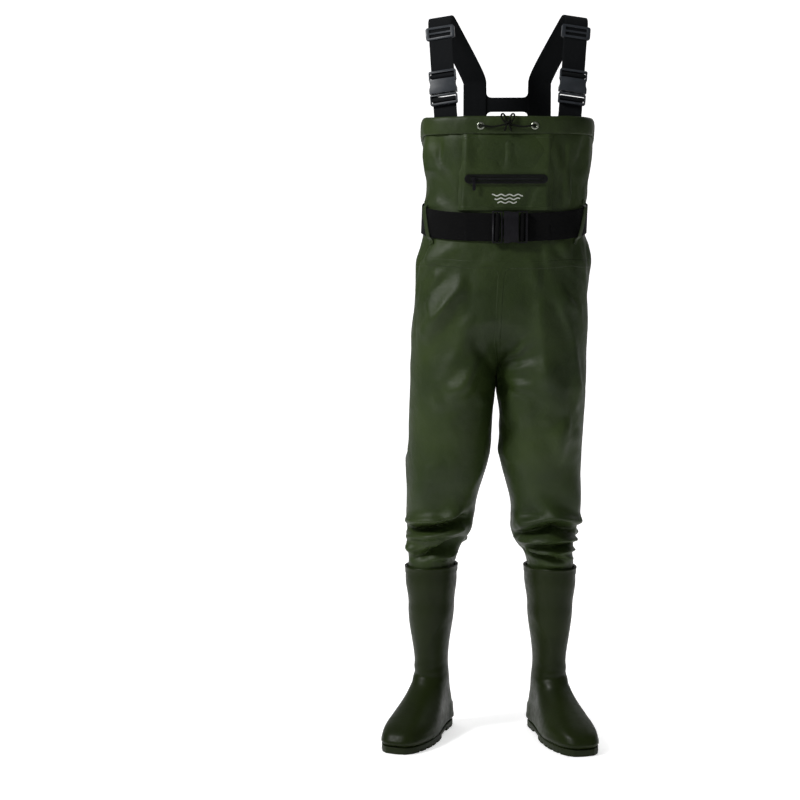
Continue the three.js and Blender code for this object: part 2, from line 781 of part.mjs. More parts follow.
const beltOffset = pocketOut + layerGap + webbing / 2;
const beltZ = (angle) => beltHeight + beltBow * Math.sin(angle);
const buckleX = torsoX(beltHeight) + 11;
const beltHardwareY = torsoY - beltHalf[1] - beltOffset - webY;
const beltPoint = (angle) => torsoPoint(angle, beltZ(angle), beltOffset);
{
  const group = new THREE.Group();
  const z = beltZ(-half);
  const middle = 37;
  group.position.set(buckleX - middle, beltHardwareY, z);
  group.rotation.y = half;
  part.add(group);
  const arms = [['upper', -1], ['lower', 1]];
  const length = buckle(beltWidth, group, group, arms, 'belt_buckle', blackAcetal);

  // Webs in world axes: from each half's bar round the waist to the belt loops.
  const up = vec(leanSlope, 0, 1);
  const toWorld = (points) => {
    group.updateMatrixWorld(true);
    return points.map((point) => ({ point: group.localToWorld(point), across: up }));
  };
  const loopAngle = 0.42;
  const facet = (2 * Math.PI) / bodySides;
  const round = (from, to) => {
    const angles = [from];
    for (let k = Math.floor(from / facet) + 1; k * facet < to - 0.02; k++) {
      if (k * facet > from + 0.02) angles.push(k * facet);
    }
    angles.push(to);
    return angles.map((angle) => ({ point: beltPoint(angle), across: up }));
  };
  const nearBuckle = 0.30;
  const left = [
    ...toWorld([...barLoop(length, -1).reverse(), vec(0, webY, length + 3)]),
    ...round(-half + nearBuckle + 0.1, -loopAngle),
  ];
  const right = [
    ...toWorld([...barLoop(0, 1).reverse(), vec(0, webY, -3)]),
    ...round(-Math.PI + loopAngle, -half - nearBuckle).reverse(),
  ];
  const back = round(-loopAngle + 0.012, Math.PI + loopAngle - 0.012);
  add('belt_web_left', band(left, beltWidth, webbing), blackWebbing);
  add('belt_web_right', band(right, beltWidth, webbing), blackWebbing);
  add('belt_web_back', band(back, beltWidth, webbing), blackWebbing);

  // Belt loops stand over the belt and come back to the bib above and below it.
  const rise = beltWidth / 2;
  const beltLoop = (name, angle, slant) => {
    const over = beltOffset + webbing + 2.4 * layerGap;
    const low = seamGap / 2 + layerGap + webbing / 2;
    const stops = [[-17, low], [-7.5, low], [-3, over], [0, over]];
    const below = stops.map(([dz, offset]) => [-rise + dz, offset]);
    const above = [...stops].reverse().map(([dz, offset]) => [rise - dz, offset]);
    const path = [...below, ...above].map(([dz, offset]) => {
      const at = angle + (slant * dz) / rise;
      const point = torsoPoint(at, beltZ(angle) + dz, offset);
      const next = torsoPoint(at + 0.02, beltZ(angle) + dz, offset);
      return { point, across: next.sub(point).normalize() };
    });
    add(name, band(path, beltLoopWidth, fabric), coatedFabric);
  };
  beltLoop('right_belt_loop', -Math.PI + loopAngle + 0.06, -0.09);
  beltLoop('left_belt_loop', -loopAngle - 0.06, 0.09);
  beltLoop('back_belt_loop', half, 0);
}

// ---- boots -------------------------------------------------------------------

const footHeight = 90;
const footTop = 132;
const soleHalf = footWidth / 2;
const shaftRows = [
  [ankleHeight, ankleHalf],
  [calfHeight, calfHalf],
  [bootRim - bootTuck, bootRimHalf],
];

// Outline of the boot at a height, in the boot's own frame: heel at +y, toe at -y.
function bootSection(z, inset, count = 20) {
  const shaft = between(shaftRows, z);
  const footShare = 1 - smooth(z, footHeight * 0.4, footTop);
  const toe = mix(shaft[1], toeFront, footShare * (1 - 0.32 * smooth(z, 20, footHeight)));
  const heel = mix(shaft[1], heelBack, footShare);
  const width = mix(shaft[0], soleHalf - 4 * smooth(z, 20, footHeight), footShare);
  const points = [];
  for (let i = 0; i < count; i++) {
    const angle = (i / count) * 2 * Math.PI;
    const power = mix(1, 2 / 3.2, footShare);
    const s = Math.sign(Math.sin(angle)) * Math.abs(Math.sin(angle)) ** power;
    const c = Math.sign(Math.cos(angle)) * Math.abs(Math.cos(angle)) ** power;
    const reach = s < 0 ? toe : heel;
    const narrow = 1 - heelNarrow * footShare * smooth(s, -0.6, 0.1);
    points.push(vec((width * narrow - inset) * c, (reach - inset) * s, z));
  }
  return points;
}

function boot(word, side) {
  const group = new THREE.Group();
  group.position.set(side * bootSpread, ankleY, 0);
  group.rotation.z = side * bootSplay;
  part.add(group);

  const low = soleThickness + fitGap;
  const footLevels = [30, 46, 60, 74, 88, 102, 117, footTop];
  const levels = [low, ...footLevels, ankleHeight, 210, calfHeight, bootRim - bootTuck, bootRim];
  const inside = [...levels].reverse();
  inside[inside.length - 1] = low + bootWall;
  const sections = [
    ...levels.map((z) => bootSection(z, z === low ? 5 : 0)),
    ...inside.map((z) => bootSection(z, z === low + bootWall ? 6 + bootWall : bootWall)),
  ];
  add(`${word}_boot_upper`, loft(sections), mouldedBoot, group);

  // Outsole: tread plate, heel block and cross lugs.
  const outline = bootSection(0, 0, 28).map((p) => new THREE.Vector2(p.x, p.y));
  const soleShape = new THREE.Shape(outline);
  const options = { depth: soleThickness, bevelEnabled: false };
  let sole = solid(new THREE.ExtrudeGeometry(soleShape, options));
  const wide = footWidth;
  const archFrom = heelBack - 74;
  sole = sole.subtract(solid(box([-wide, archFrom - archLength, -1], [wide, archFrom, archHeight])));
  for (const y of [-188, -162, -136, -110, -84, 18, 44]) {
    sole = sole.subtract(solid(box([-wide, y, -1], [wide, y + 7, 4.5])));
  }
  add(`${word}_boot_outsole`, geometryOf(sole), outsoleRubber, group);

  const bed = bootSection(low, 6 + bootWall + 3, 20);
  const bedZ = low + bootWall + fitGap;
  const bedLoops = [bedZ, bedZ + 4].map((z) => bed.map((p) => vec(p.x, p.y, z)));
  add(`${word}_boot_insole`, loft(bedLoops), foam, group);

  // Band welded over the boot's rim, with the fabric tucked inside the shaft.
  const bandLow = bootRim - bandHeight;
  const bandOut = layerGap + bandWall;
  const corners = [[bandLow, layerGap], [bandLow, bandOut], [bootRim, bandOut], [bootRim, layerGap]];
  const count = 20;
  const loops = [];
  for (let i = 0; i < count; i++) {
    loops.push(corners.map(([z, offset]) => bootSection(z, -offset, count)[i]));
  }
  add(`${word}_boot_top_band`, loft(loops, true), mouldedBoot, group);
}
boot('right', -1);
boot('left', 1);

export default part;
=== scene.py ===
# %% [markdown]
# # Chest waders
# Real waders are a bib and trousers of coated nylon, welded to a pair of moulded
# boots, and held up by two webbing straps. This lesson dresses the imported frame
# with those materials. Everything is in metres, with +Z up and the front on -Y.

# %% Load the frame
import math
import random

import bmesh
import bpy
from mathutils import Matrix, Vector, noise


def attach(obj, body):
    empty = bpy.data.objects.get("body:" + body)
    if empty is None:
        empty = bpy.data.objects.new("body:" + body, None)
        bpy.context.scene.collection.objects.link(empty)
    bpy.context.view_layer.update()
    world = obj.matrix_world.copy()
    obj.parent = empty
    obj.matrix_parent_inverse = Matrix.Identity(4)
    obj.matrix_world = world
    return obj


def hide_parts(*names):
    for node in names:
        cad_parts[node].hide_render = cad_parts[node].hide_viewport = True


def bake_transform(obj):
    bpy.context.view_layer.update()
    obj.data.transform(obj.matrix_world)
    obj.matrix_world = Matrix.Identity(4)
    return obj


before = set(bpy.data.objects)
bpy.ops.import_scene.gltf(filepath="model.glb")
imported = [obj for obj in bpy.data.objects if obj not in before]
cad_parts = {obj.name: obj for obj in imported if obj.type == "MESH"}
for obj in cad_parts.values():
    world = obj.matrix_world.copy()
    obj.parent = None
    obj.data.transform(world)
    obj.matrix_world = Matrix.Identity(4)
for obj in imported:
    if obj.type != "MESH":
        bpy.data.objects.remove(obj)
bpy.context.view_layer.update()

# %% [markdown]
# ## Camera, floor and light
# A catalogue picture is taken from far away with a long lens, so that nothing is
# distorted. The camera stands at waist height, four metres off, and looks a little
# down. The object could be centred, but here it stands to the right of the middle.
# The main light is soft and stands high on the left, so that it rakes over the dark
# cloth and shows its folds. The other two only keep the far side from going black.

# %% Place the camera
scene = bpy.context.scene
CAMERA_DISTANCE = 4.05
CAMERA_HEIGHT = 1.07
AIM_LEFT = math.radians(2.74)
AIM_DOWN = math.radians(4.85)

camera = bpy.data.objects.new("camera", bpy.data.cameras.new("camera"))
camera.data.lens = 86.0
camera.location = (0.0, -CAMERA_DISTANCE, CAMERA_HEIGHT)
camera.rotation_euler = (math.pi / 2 - AIM_DOWN, 0.0, AIM_LEFT)
scene.collection.objects.link(camera)
scene.camera = camera
scene.view_settings.view_transform = "Standard"

# %% Light the studio


def soft_light(name, place, aim, size, watts):
    """Adds a square area light that looks from one point to another."""
    lamp = bpy.data.lights.new(name, "AREA")
    lamp.energy = watts
    lamp.size = size
    made = bpy.data.objects.new(name, lamp)
    made.location = place
    made.rotation_euler = (Vector(aim) - Vector(place)).to_track_quat("-Z", "Y").to_euler()
    scene.collection.objects.link(made)


chest = (0.0, 0.0, 0.9)
soft_light("key_light", (-2.0, -1.2, 2.75), chest, 0.6, 55)
soft_light("fill_light", (2.4, -3.0, 1.5), chest, 1.6, 4.5)
soft_light("rim_light", (1.4, 2.4, 2.2), chest, 1.6, 4)

world = bpy.data.worlds.new("studio")
world.use_nodes = True
world.node_tree.nodes["Background"].inputs["Color"].default_value = (1.0, 1.0, 1.0, 1.0)
world.node_tree.nodes["Background"].inputs["Strength"].default_value = 0.10
scene.world = world

# %% [markdown]
# ## Materials
# Every finish is a small node tree. Colours are written as sRGB hex, the way a paint
# or cloth chart gives them, and one function turns them to the linear values that
# the renderer works in. One helper adds a node with its settings and its links.

# %% Colour and node helpers


def linear(code):
    """Turns an sRGB hex colour into linear red, green, blue and alpha."""
    channels = [int(code[i:i + 2], 16) / 255 for i in (1, 3, 5)]
    low = [c / 12.92 if c <= 0.04045 else ((c + 0.055) / 1.055) ** 2.4 for c in channels]
    return (*low, 1.0)


def add_node(tree, kind, links=None, **settings):
    """Adds a node. links maps a socket to a value or to another node's output."""
    made = tree.nodes.new(kind)
    for name, value in settings.items():
        setattr(made, name, value)
    for name, value in (links or {}).items():
        if isinstance(value, bpy.types.NodeSocket):
            tree.links.new(value, made.inputs[name])
        else:
            made.inputs[name].default_value = value
    return made


def start_material(name, roughness, ior=1.5, metallic=0.0):
    """A material with its shader, and the object coordinates that patterns use."""
    made = bpy.data.materials.new(name)
    made.use_nodes = True
    tree = made.node_tree
    shader = tree.nodes["Principled BSDF"]
    shader.inputs["Roughness"].default_value = roughness
    shader.inputs["Metallic"].default_value = metallic
    shader.inputs["Specular IOR Level"].default_value = 0.5 if metallic or roughness < 0.3 else 0.30
    if metallic == 0.0:
        shader.inputs["IOR"].default_value = ior
    coordinates = add_node(tree, "ShaderNodeTexCoord")
    return made, tree, shader, coordinates


def mix_colours(tree, share, first, second):
    """Blends two colours by a share and gives the mixed colour's socket."""
    made = add_node(tree, "ShaderNodeMix", data_type="RGBA")
    tree.links.new(share, made.inputs["Factor"])
    for index, colour in ((6, first), (7, second)):
        if isinstance(colour, bpy.types.NodeSocket):
            tree.links.new(colour, made.inputs[index])
        else:
            made.inputs[index].default_value = linear(colour)
    return made.outputs[2]


def spread(tree, value, low, high, to_low=0.0, to_high=1.0):
    """Stretches the part of a value between low and high over a new range."""
    links = {"Value": value, "From Min": low, "From Max": high, "To Min": to_low, "To Max": to_high}
    return add_node(tree, "ShaderNodeMapRange", links).outputs["Result"]


def cloudy(tree, coordinates, size, detail=3.0):
    """Soft blotches about size metres across."""
    links = {"Vector": coordinates, "Scale": 1.0 / size, "Detail": detail}
    return add_node(tree, "ShaderNodeTexNoise", links).outputs["Fac"]


def bump(tree, shader, height, depth, under=None):
    """Adds relief depth metres high, over any relief that is already there."""
    links = {"Height": height, "Strength": 1.0, "Distance": depth}
    if under is not None:
        links["Normal"] = under
    made = add_node(tree, "ShaderNodeBump", links)
    tree.links.new(made.outputs["Normal"], shader.inputs["Normal"])
    return made.outputs["Normal"]

# %% [markdown]
# **PVC-coated nylon.** The cloth of the bib and legs: a plain nylon weave of about
# 0.45 mm threads under a thin film of PVC. The film gives it a broad, soft shine and
# the weave hardly shows, so its threads are drawn at 1.4 mm, as coarse as they need
# to be to be seen. Handling leaves faint cloudy marks, which vary the shine.

# %% Make the coated nylon
THREAD = 0.0014


def coated_nylon(name, light, dark):
    """Coated cloth between two close greens."""
    made, tree, shader, coordinates = start_material(name, 0.46, ior=1.53)
    place = coordinates.outputs["Object"]
    blotches = cloudy(tree, place, 0.11)
    colour = mix_colours(tree, spread(tree, blotches, 0.35, 0.68), dark, light)
    tree.links.new(colour, shader.inputs["Base Color"])
    shine = spread(tree, cloudy(tree, place, 0.03, 5.0), 0.3, 0.7, 0.4, 0.54)
    tree.links.new(shine, shader.inputs["Roughness"])
    lap = add_node(tree, "ShaderNodeAttribute", attribute_name="seam").outputs["Fac"]
    laps = bump(tree, shader, spread(tree, lap, 0.0062, 0.0074, 1.0, 0.0), 0.0007)
    creases = bump(tree, shader, cloudy(tree, place, 0.035, 4.0), 0.0022, laps)
    weave = add_node(tree, "ShaderNodeTexWave", {"Vector": place, "Scale": 0.32 / THREAD},
                     bands_direction="Z").outputs["Fac"]
    cross = add_node(tree, "ShaderNodeTexWave", {"Vector": place, "Scale": 0.32 / THREAD},
                     bands_direction="X").outputs["Fac"]
    threads = add_node(tree, "ShaderNodeMath", {0: weave, 1: cross}, operation="MULTIPLY")
    bump(tree, shader, threads.outputs["Value"], 0.00012, creases)
    return made


nylon = coated_nylon("PVC-coated nylon", "#36451d", "#2a3817")
nylon_tape = coated_nylon("PVC-coated nylon tape", "#33411c", "#283516")
print("cloth:", nylon.name, "and", nylon_tape.name)

# %% [markdown]
# **Moulded PVC.** The boots are injected in soft PVC, which comes out of a polished
# mould with an even shine and a very slight orange peel. The outsole is the same
# plastic from a sand-blasted mould, so it is rougher and a little darker.

# %% Make the boot plastics


def moulded_pvc(name, light, dark, roughness, grain):
    """Moulded soft PVC, with its peel or grain in metres."""
    made, tree, shader, coordinates = start_material(name, roughness, ior=1.54)
    shader.inputs["Specular IOR Level"].default_value = 0.18
    place = coordinates.outputs["Object"]
    colour = mix_colours(tree, spread(tree, cloudy(tree, place, 0.09), 0.35, 0.7), dark, light)
    tree.links.new(colour, shader.inputs["Base Color"])
    scuffs = spread(tree, cloudy(tree, place, 0.012, 6.0), 0.35, 0.7, roughness - 0.05, roughness + 0.1)
    tree.links.new(scuffs, shader.inputs["Roughness"])
    bump(tree, shader, cloudy(tree, place, grain, 2.0), grain * 0.05)
    return made


boot_pvc = moulded_pvc("Moulded PVC", "#252f10", "#1e270b", 0.40, 0.004)
sole_pvc = moulded_pvc("Grained PVC", "#2a3319", "#222a14", 0.5, 0.0016)

# %% [markdown]
# **Polyester webbing.** Straps and belt are woven flat on a narrow loom. Ribs run
# along the web about 1.6 mm apart and picks cross it every millimetre. The pattern
# follows the web through its UV map, whose units are metres: u across, v along.

# %% Make the webbing and the cord


def webbing(name, light, dark):
    """Woven tape whose ribs follow the UV map."""
    made, tree, shader, coordinates = start_material(name, 0.78, ior=1.5)
    shader.inputs["Specular IOR Level"].default_value = 0.15
    shader.inputs["Sheen Weight"].default_value = 0.04
    shader.inputs["Sheen Roughness"].default_value = 0.4
    across = coordinates.outputs["UV"]
    ribs = add_node(tree, "ShaderNodeTexWave", {"Vector": across, "Scale": 0.32 / 0.0026},
                    bands_direction="X").outputs["Fac"]
    picks = add_node(tree, "ShaderNodeTexWave",
                     {"Vector": across, "Scale": 0.32 / 0.0018, "Distortion": 0.6},
                     bands_direction="Y").outputs["Fac"]
    weave = add_node(tree, "ShaderNodeMath", {0: ribs, 1: picks}, operation="MULTIPLY")
    colour = mix_colours(tree, spread(tree, weave.outputs["Value"], 0.1, 0.8), dark, light)
    tree.links.new(colour, shader.inputs["Base Color"])
    bump(tree, shader, weave.outputs["Value"], 0.0005)
    return made


strap_web = webbing("Polyester webbing", "#1d2023", "#101214")
belt_web = webbing("Black polyester webbing", "#0a0b0c", "#040405")
cord_braid = webbing("Braided polyester cord", "#1c2014", "#0c0e09")

# %% [markdown]
# **Acetal.** The buckles are injection-moulded acetal. It is slippery and slightly
# waxy, with a fine spark-eroded grain that keeps fingers from slipping.

# %% Make the hard parts' finishes


def acetal(name, light, dark, roughness):
    """Injection-moulded acetal with a fine grain."""
    made, tree, shader, coordinates = start_material(name, roughness, ior=1.48)
    place = coordinates.outputs["Object"]
    colour = mix_colours(tree, spread(tree, cloudy(tree, place, 0.02), 0.3, 0.7), dark, light)
    tree.links.new(colour, shader.inputs["Base Color"])
    rubbed = spread(tree, cloudy(tree, place, 0.006, 5.0), 0.3, 0.7, roughness - 0.06, roughness + 0.08)
    tree.links.new(rubbed, shader.inputs["Roughness"])
    bump(tree, shader, cloudy(tree, place, 0.0011, 2.0), 0.00009)
    return made


grey_acetal = acetal("Grey acetal", "#3f4348", "#32363b", 0.34)
black_acetal = acetal("Black acetal", "#1b1a1f", "#111014", 0.4)
zip_film = acetal("Polyurethane zipper film", "#121413", "#0a0b0b", 0.42)
zip_coil = acetal("Nylon zipper coil", "#1a1c1c", "#0d0f0f", 0.36)

nickel, nickel_tree, nickel_shader, nickel_place = start_material(
    "Nickel-plated brass", 0.28, metallic=1.0)
tarnish = cloudy(nickel_tree, nickel_place.outputs["Object"], 0.004, 4.0)
tarnish = spread(nickel_tree, tarnish, 0.35, 0.7)
nickel_tree.links.new(mix_colours(nickel_tree, tarnish, "#c9cdc0", "#a3aa98"),
                      nickel_shader.inputs["Base Color"])
bump(nickel_tree, nickel_shader, cloudy(nickel_tree, nickel_place.outputs["Object"], 0.002), 0.00006)

felt, felt_tree, felt_shader, felt_place = start_material("Knitted insole cloth", 0.9)
knit = cloudy(felt_tree, felt_place.outputs["Object"], 0.0015, 2.0)
felt_tree.links.new(mix_colours(felt_tree, spread(felt_tree, knit, 0.35, 0.65), "#2e2e2b", "#4a4a45"),
                    felt_shader.inputs["Base Color"])
bump(felt_tree, felt_shader, knit, 0.0005)

# %% [markdown]
# ## The shape of the body
# The garment is cut from level sections: a rounded box for the hips and bib, and an
# ellipse for each leg. A smooth step joins one section to the next. The whole body
# leans a few centimetres towards its own left as it rises.

# %% Write the sections as functions
TORSO = [(0.775, (0.190, 0.124)), (0.870, (0.190, 0.124)), (1.018, (0.183, 0.118)),
         (1.057, (0.171, 0.112)), (1.167, (0.171, 0.112)), (1.210, (0.173, 0.116)),
         (1.320, (0.1755, 0.116))]
LEG = [(0.365, (0.047, 0.067)), (0.460, (0.072, 0.084)), (0.630, (0.0925, 0.106)),
       (0.775, (0.0945, 0.114))]
LEG_SPREAD = [(0.365, (0.128,)), (0.460, (0.113,)), (0.630, (0.098,)), (0.775, (0.0965,))]
WAIST, CROTCH, HIPS, KNEE, RIM, TUCK = 1.018, 0.775, 0.910, 0.460, 0.365, 0.337
BIB_TOP, BIB_BACK, BELT_MIDDLE, BELT_BOW = 1.320, 1.258, 1.112, 0.020
TORSO_Y, ANKLE_Y = 0.042, 0.052
BOOT_SPREAD, BOOT_SPLAY = 0.128, math.radians(18)
ROUNDNESS = 2.9
LEAN = 0.032 / 0.87
SIDES = {"right": -1, "left": 1}


def mix(a, b, share):
    return a + (b - a) * share


def smooth(value, low, high):
    """Rises smoothly from 0 at low to 1 at high."""
    share = min(max((value - low) / (high - low), 0.0), 1.0)
    return share * share * (3 - 2 * share)


def between(rows, z):
    """The section at a height, between the rows above and below it."""
    if z <= rows[0][0]:
        return rows[0][1]
    for (low, first), (high, second) in zip(rows, rows[1:]):
        if z <= high:
            return tuple(mix(a, b, smooth(z, low, high)) for a, b in zip(first, second))
    return rows[-1][1]


def lean(z):
    return LEAN * (min(max(z, 0.4), BIB_TOP - 0.05) - 0.4)


def rounded(value):
    return math.copysign(abs(value) ** (2 / ROUNDNESS), value)


def torso_point(angle, z, offset=0.0):
    """A point round the torso. Angle 0 is its left side and -90 degrees its front."""
    a, b = between(TORSO, z)
    return Vector((lean(z) + (a + offset) * rounded(math.cos(angle)),
                   TORSO_Y + (b + offset) * rounded(math.sin(angle)), z))


def leg_point(side, angle, z, offset=0.0):
    """A point round one leg, which turns outwards below the knee as the boot does."""
    a, b = between(LEG, z)
    x, y = (a + offset) * math.cos(angle), (b + offset) * math.sin(angle)
    turn = side * BOOT_SPLAY * (1 - smooth(z, RIM, KNEE))
    centre_x = lean(z) * smooth(z, RIM, KNEE) + side * between(LEG_SPREAD, z)[0]
    return Vector((centre_x + x * math.cos(turn) - y * math.sin(turn),
                   mix(ANKLE_Y, TORSO_Y, smooth(z, RIM, CROTCH)) + x * math.sin(turn) + y * math.cos(turn),
                   z))


def leg_panel_point(side, facing, u, z, offset=0.0):
    """A point on half of a leg: u runs from the inner seam to the outer seam."""
    outer, inner = (0.0, math.pi) if side > 0 else (math.pi, 0.0)
    hips = torso_point(facing * mix(math.pi / 2, outer, u), z, offset)
    leg = leg_point(side, facing * mix(inner, outer, u), z, offset)
    point = leg.lerp(hips, smooth(z, CROTCH, HIPS))
    if u == 0.0 and z >= CROTCH:
        point.x = lean(z)
    return point


def bib_edge(angle):
    """Height of the bib's top edge: level in front and lower behind."""
    return mix(BIB_TOP, BIB_BACK, smooth(math.sin(angle), -0.35, 1.0))


def front_y(x, z, offset=0.0):
    """Depth of the front surface at a distance x from the bib's middle."""
    a, b = between(TORSO, z)
    share = min(abs(x) / (a + offset), 1.0)
    return TORSO_Y - (b + offset) * (1 - share ** ROUNDNESS) ** (1 / ROUNDNESS)

# %% [markdown]
# ## The coated cloth
# Coated nylon is limp but springy: it keeps broad soft folds and sharp little
# breaks where two folds meet. The legs are cut longer than the body, so they
# buckle in rolls above the boots. It could be sculpted by hand, but cloth that
# has been simulated folds in the way the eye expects. So the main folds are laid
# in first, then the skin is simulated over a form, and then it's cut along
# its seams into its six panels.

# %% Lay out the skin
PANELS = ["bib_front_panel", "bib_back_panel", "right_leg_front_panel", "right_leg_back_panel",
          "left_leg_front_panel", "left_leg_back_panel"]
QUARTER = 40
KNEE_TOP = 0.505
KNEE_ROWS, THIGH_ROWS = 56, 72
BIB_ROWS = 44


def add_grid(mesh, layers, panel, columns, rows, point):
    """Adds one panel's grid. Each point stores how far it is from the nearest seam."""
    panel_layer, seam_layer = layers
    grid = []
    for j in range(rows + 1):
        row = [point(i / columns, j / rows) for i in range(columns + 1)]
        along = [0.0]
        for before, after in zip(row, row[1:]):
            along.append(along[-1] + (after - before).length)
        verts = []
        for place, run in zip(row, along):
            vert = mesh.verts.new(place)
            vert[seam_layer] = min(run, along[-1] - run, abs(place.z - WAIST))
            verts.append(vert)
        grid.append(verts)
    for j in range(rows):
        for i in range(columns):
            face = mesh.faces.new((grid[j][i], grid[j][i + 1], grid[j + 1][i + 1], grid[j + 1][i]))
            face[panel_layer] = panel


def skin_mesh():
    """All six panels, welded along their seams."""
    mesh = bmesh.new()
    layers = (mesh.faces.layers.int.new("panel"), mesh.verts.layers.float.new("seam"))
    for panel, (start, end) in enumerate([(-math.pi, 0.0), (math.pi, 0.0)]):
        def bib(u, v, start=start, end=end):
            angle = mix(start, end, u)
            return torso_point(angle, mix(WAIST, bib_edge(angle), v))
        add_grid(mesh, layers, panel, 2 * QUARTER, BIB_ROWS, bib)
    legs = [(side, facing) for side in (-1, 1) for facing in (-1, 1)]
    for panel, (side, facing) in enumerate(legs, start=2):
        def leg(u, v, side=side, facing=facing):
            row = v * (KNEE_ROWS + THIGH_ROWS) - KNEE_ROWS
            if row < 0:
                z = mix(KNEE_TOP, TUCK, -row / KNEE_ROWS)
            else:
                z = mix(KNEE_TOP, WAIST, row / THIGH_ROWS)
            return leg_panel_point(side, facing, u, z)
        add_grid(mesh, layers, panel, QUARTER, KNEE_ROWS + THIGH_ROWS, leg)
    bmesh.ops.remove_doubles(mesh, verts=mesh.verts, dist=0.0012)
    bmesh.ops.recalc_face_normals(mesh, faces=mesh.faces)
    mesh.normal_update()
    return mesh


skin = skin_mesh()
print("skin:", len(skin.verts), "points")

# %% [markdown]
# A fold is drawn as a line down the front or back, with a width and a height. Its
# profile is a soft ridge, or a crease when the height is negative, which fades out
# at both ends. Most of the folds start where something pulls: at the crotch, at the
# hip, under the belt, or where the leg drops into the boot.

# %% Lay in the main folds
FRONT_FOLDS = [
    # Hips: diagonals from the side towards the middle.
    ([(-0.048, 0.986), (-0.107, 0.921), (-0.140, 0.882)], 0.018, 0.012),
    ([(-0.085, 0.998), (-0.150, 0.920)], 0.014, -0.010),
    ([(-0.023, 0.990), (-0.028, 0.835)], 0.010, -0.008),
    ([(0.086, 1.008), (0.103, 0.923), (0.122, 0.820), (0.124, 0.694)], 0.014, 0.012),
    ([(0.128, 0.930), (0.152, 0.860), (0.156, 0.780), (0.150, 0.700)], 0.017, -0.013),
    ([(0.100, 0.985), (0.178, 0.920)], 0.015, 0.008),
    ([(0.135, 1.010), (0.182, 0.970)], 0.010, -0.007),
    # Crotch: creases that fan out from it.
    ([(-0.0945, 0.700), (-0.038, 0.740), (0.010, 0.838)], 0.013, -0.012),
    ([(-0.105, 0.732), (-0.055, 0.768), (-0.012, 0.850)], 0.016, 0.009),
    ([(0.020, 0.846), (0.100, 0.870)], 0.008, -0.007),
    ([(0.024, 0.822), (0.098, 0.826)], 0.007, -0.006),
    ([(0.035, 0.792), (0.095, 0.784)], 0.008, -0.008),
    ([(0.045, 0.762), (0.090, 0.742)], 0.007, -0.005),
    ([(-0.112, 0.772), (-0.090, 0.736)], 0.008, -0.006),
    # Thighs and knees: long folds that run down and out.
    ([(0.143, 0.736), (0.146, 0.610)], 0.009, 0.007),
    ([(0.163, 0.742), (0.170, 0.600)], 0.009, -0.010),
    ([(-0.118, 0.595), (-0.158, 0.510)], 0.020, 0.010),
    ([(-0.036, 0.606), (-0.103, 0.490)], 0.014, -0.014),
    ([(-0.022, 0.590), (-0.085, 0.486)], 0.009, 0.008),
    ([(0.155, 0.568), (0.183, 0.482)], 0.013, 0.009),
    ([(0.062, 0.660), (0.080, 0.490)], 0.018, -0.010),
    ([(0.080, 0.520), (0.150, 0.482)], 0.012, 0.008),
    # Rolls where the leg buckles above the boot.
    ([(-0.185, 0.447), (-0.107, 0.457), (-0.058, 0.476)], 0.008, -0.015),
    ([(-0.180, 0.463), (-0.107, 0.476), (-0.070, 0.492)], 0.011, 0.009),
    ([(-0.178, 0.432), (-0.120, 0.440), (-0.062, 0.452)], 0.008, 0.008),
    ([(-0.160, 0.392), (-0.110, 0.400), (-0.060, 0.424)], 0.009, -0.014),
    ([(-0.176, 0.415), (-0.160, 0.392)], 0.008, 0.006),
    ([(-0.120, 0.388), (-0.066, 0.399)], 0.006, 0.007),
    ([(0.056, 0.436), (0.136, 0.462), (0.208, 0.437)], 0.009, -0.015),
    ([(0.070, 0.466), (0.136, 0.486), (0.196, 0.458)], 0.011, 0.010),
    ([(0.062, 0.428), (0.130, 0.434), (0.200, 0.426)], 0.006, 0.007),
    ([(0.088, 0.417), (0.195, 0.415)], 0.005, -0.009),
    ([(0.080, 0.409), (0.192, 0.405)], 0.005, 0.006),
    ([(0.070, 0.402), (0.152, 0.388)], 0.005, -0.009),
    ([(0.150, 0.396), (0.176, 0.384)], 0.006, 0.005),
    # Bib: pulls at the belt and beside the pocket.
    ([(0.145, 1.192), (0.147, 1.138)], 0.007, -0.008),
    ([(0.158, 1.200), (0.156, 1.140)], 0.007, 0.006),
    ([(0.146, 1.256), (0.147, 1.220)], 0.006, -0.006),
    ([(-0.138, 1.178), (-0.092, 1.142)], 0.012, -0.009),
    ([(-0.112, 1.282), (-0.104, 1.210)], 0.018, -0.009),
    ([(-0.133, 1.260), (-0.138, 1.190)], 0.011, 0.007),
    ([(-0.072, 1.046), (-0.026, 1.024)], 0.007, -0.006),
    ([(0.120, 1.056), (0.160, 1.020)], 0.009, -0.008),
]
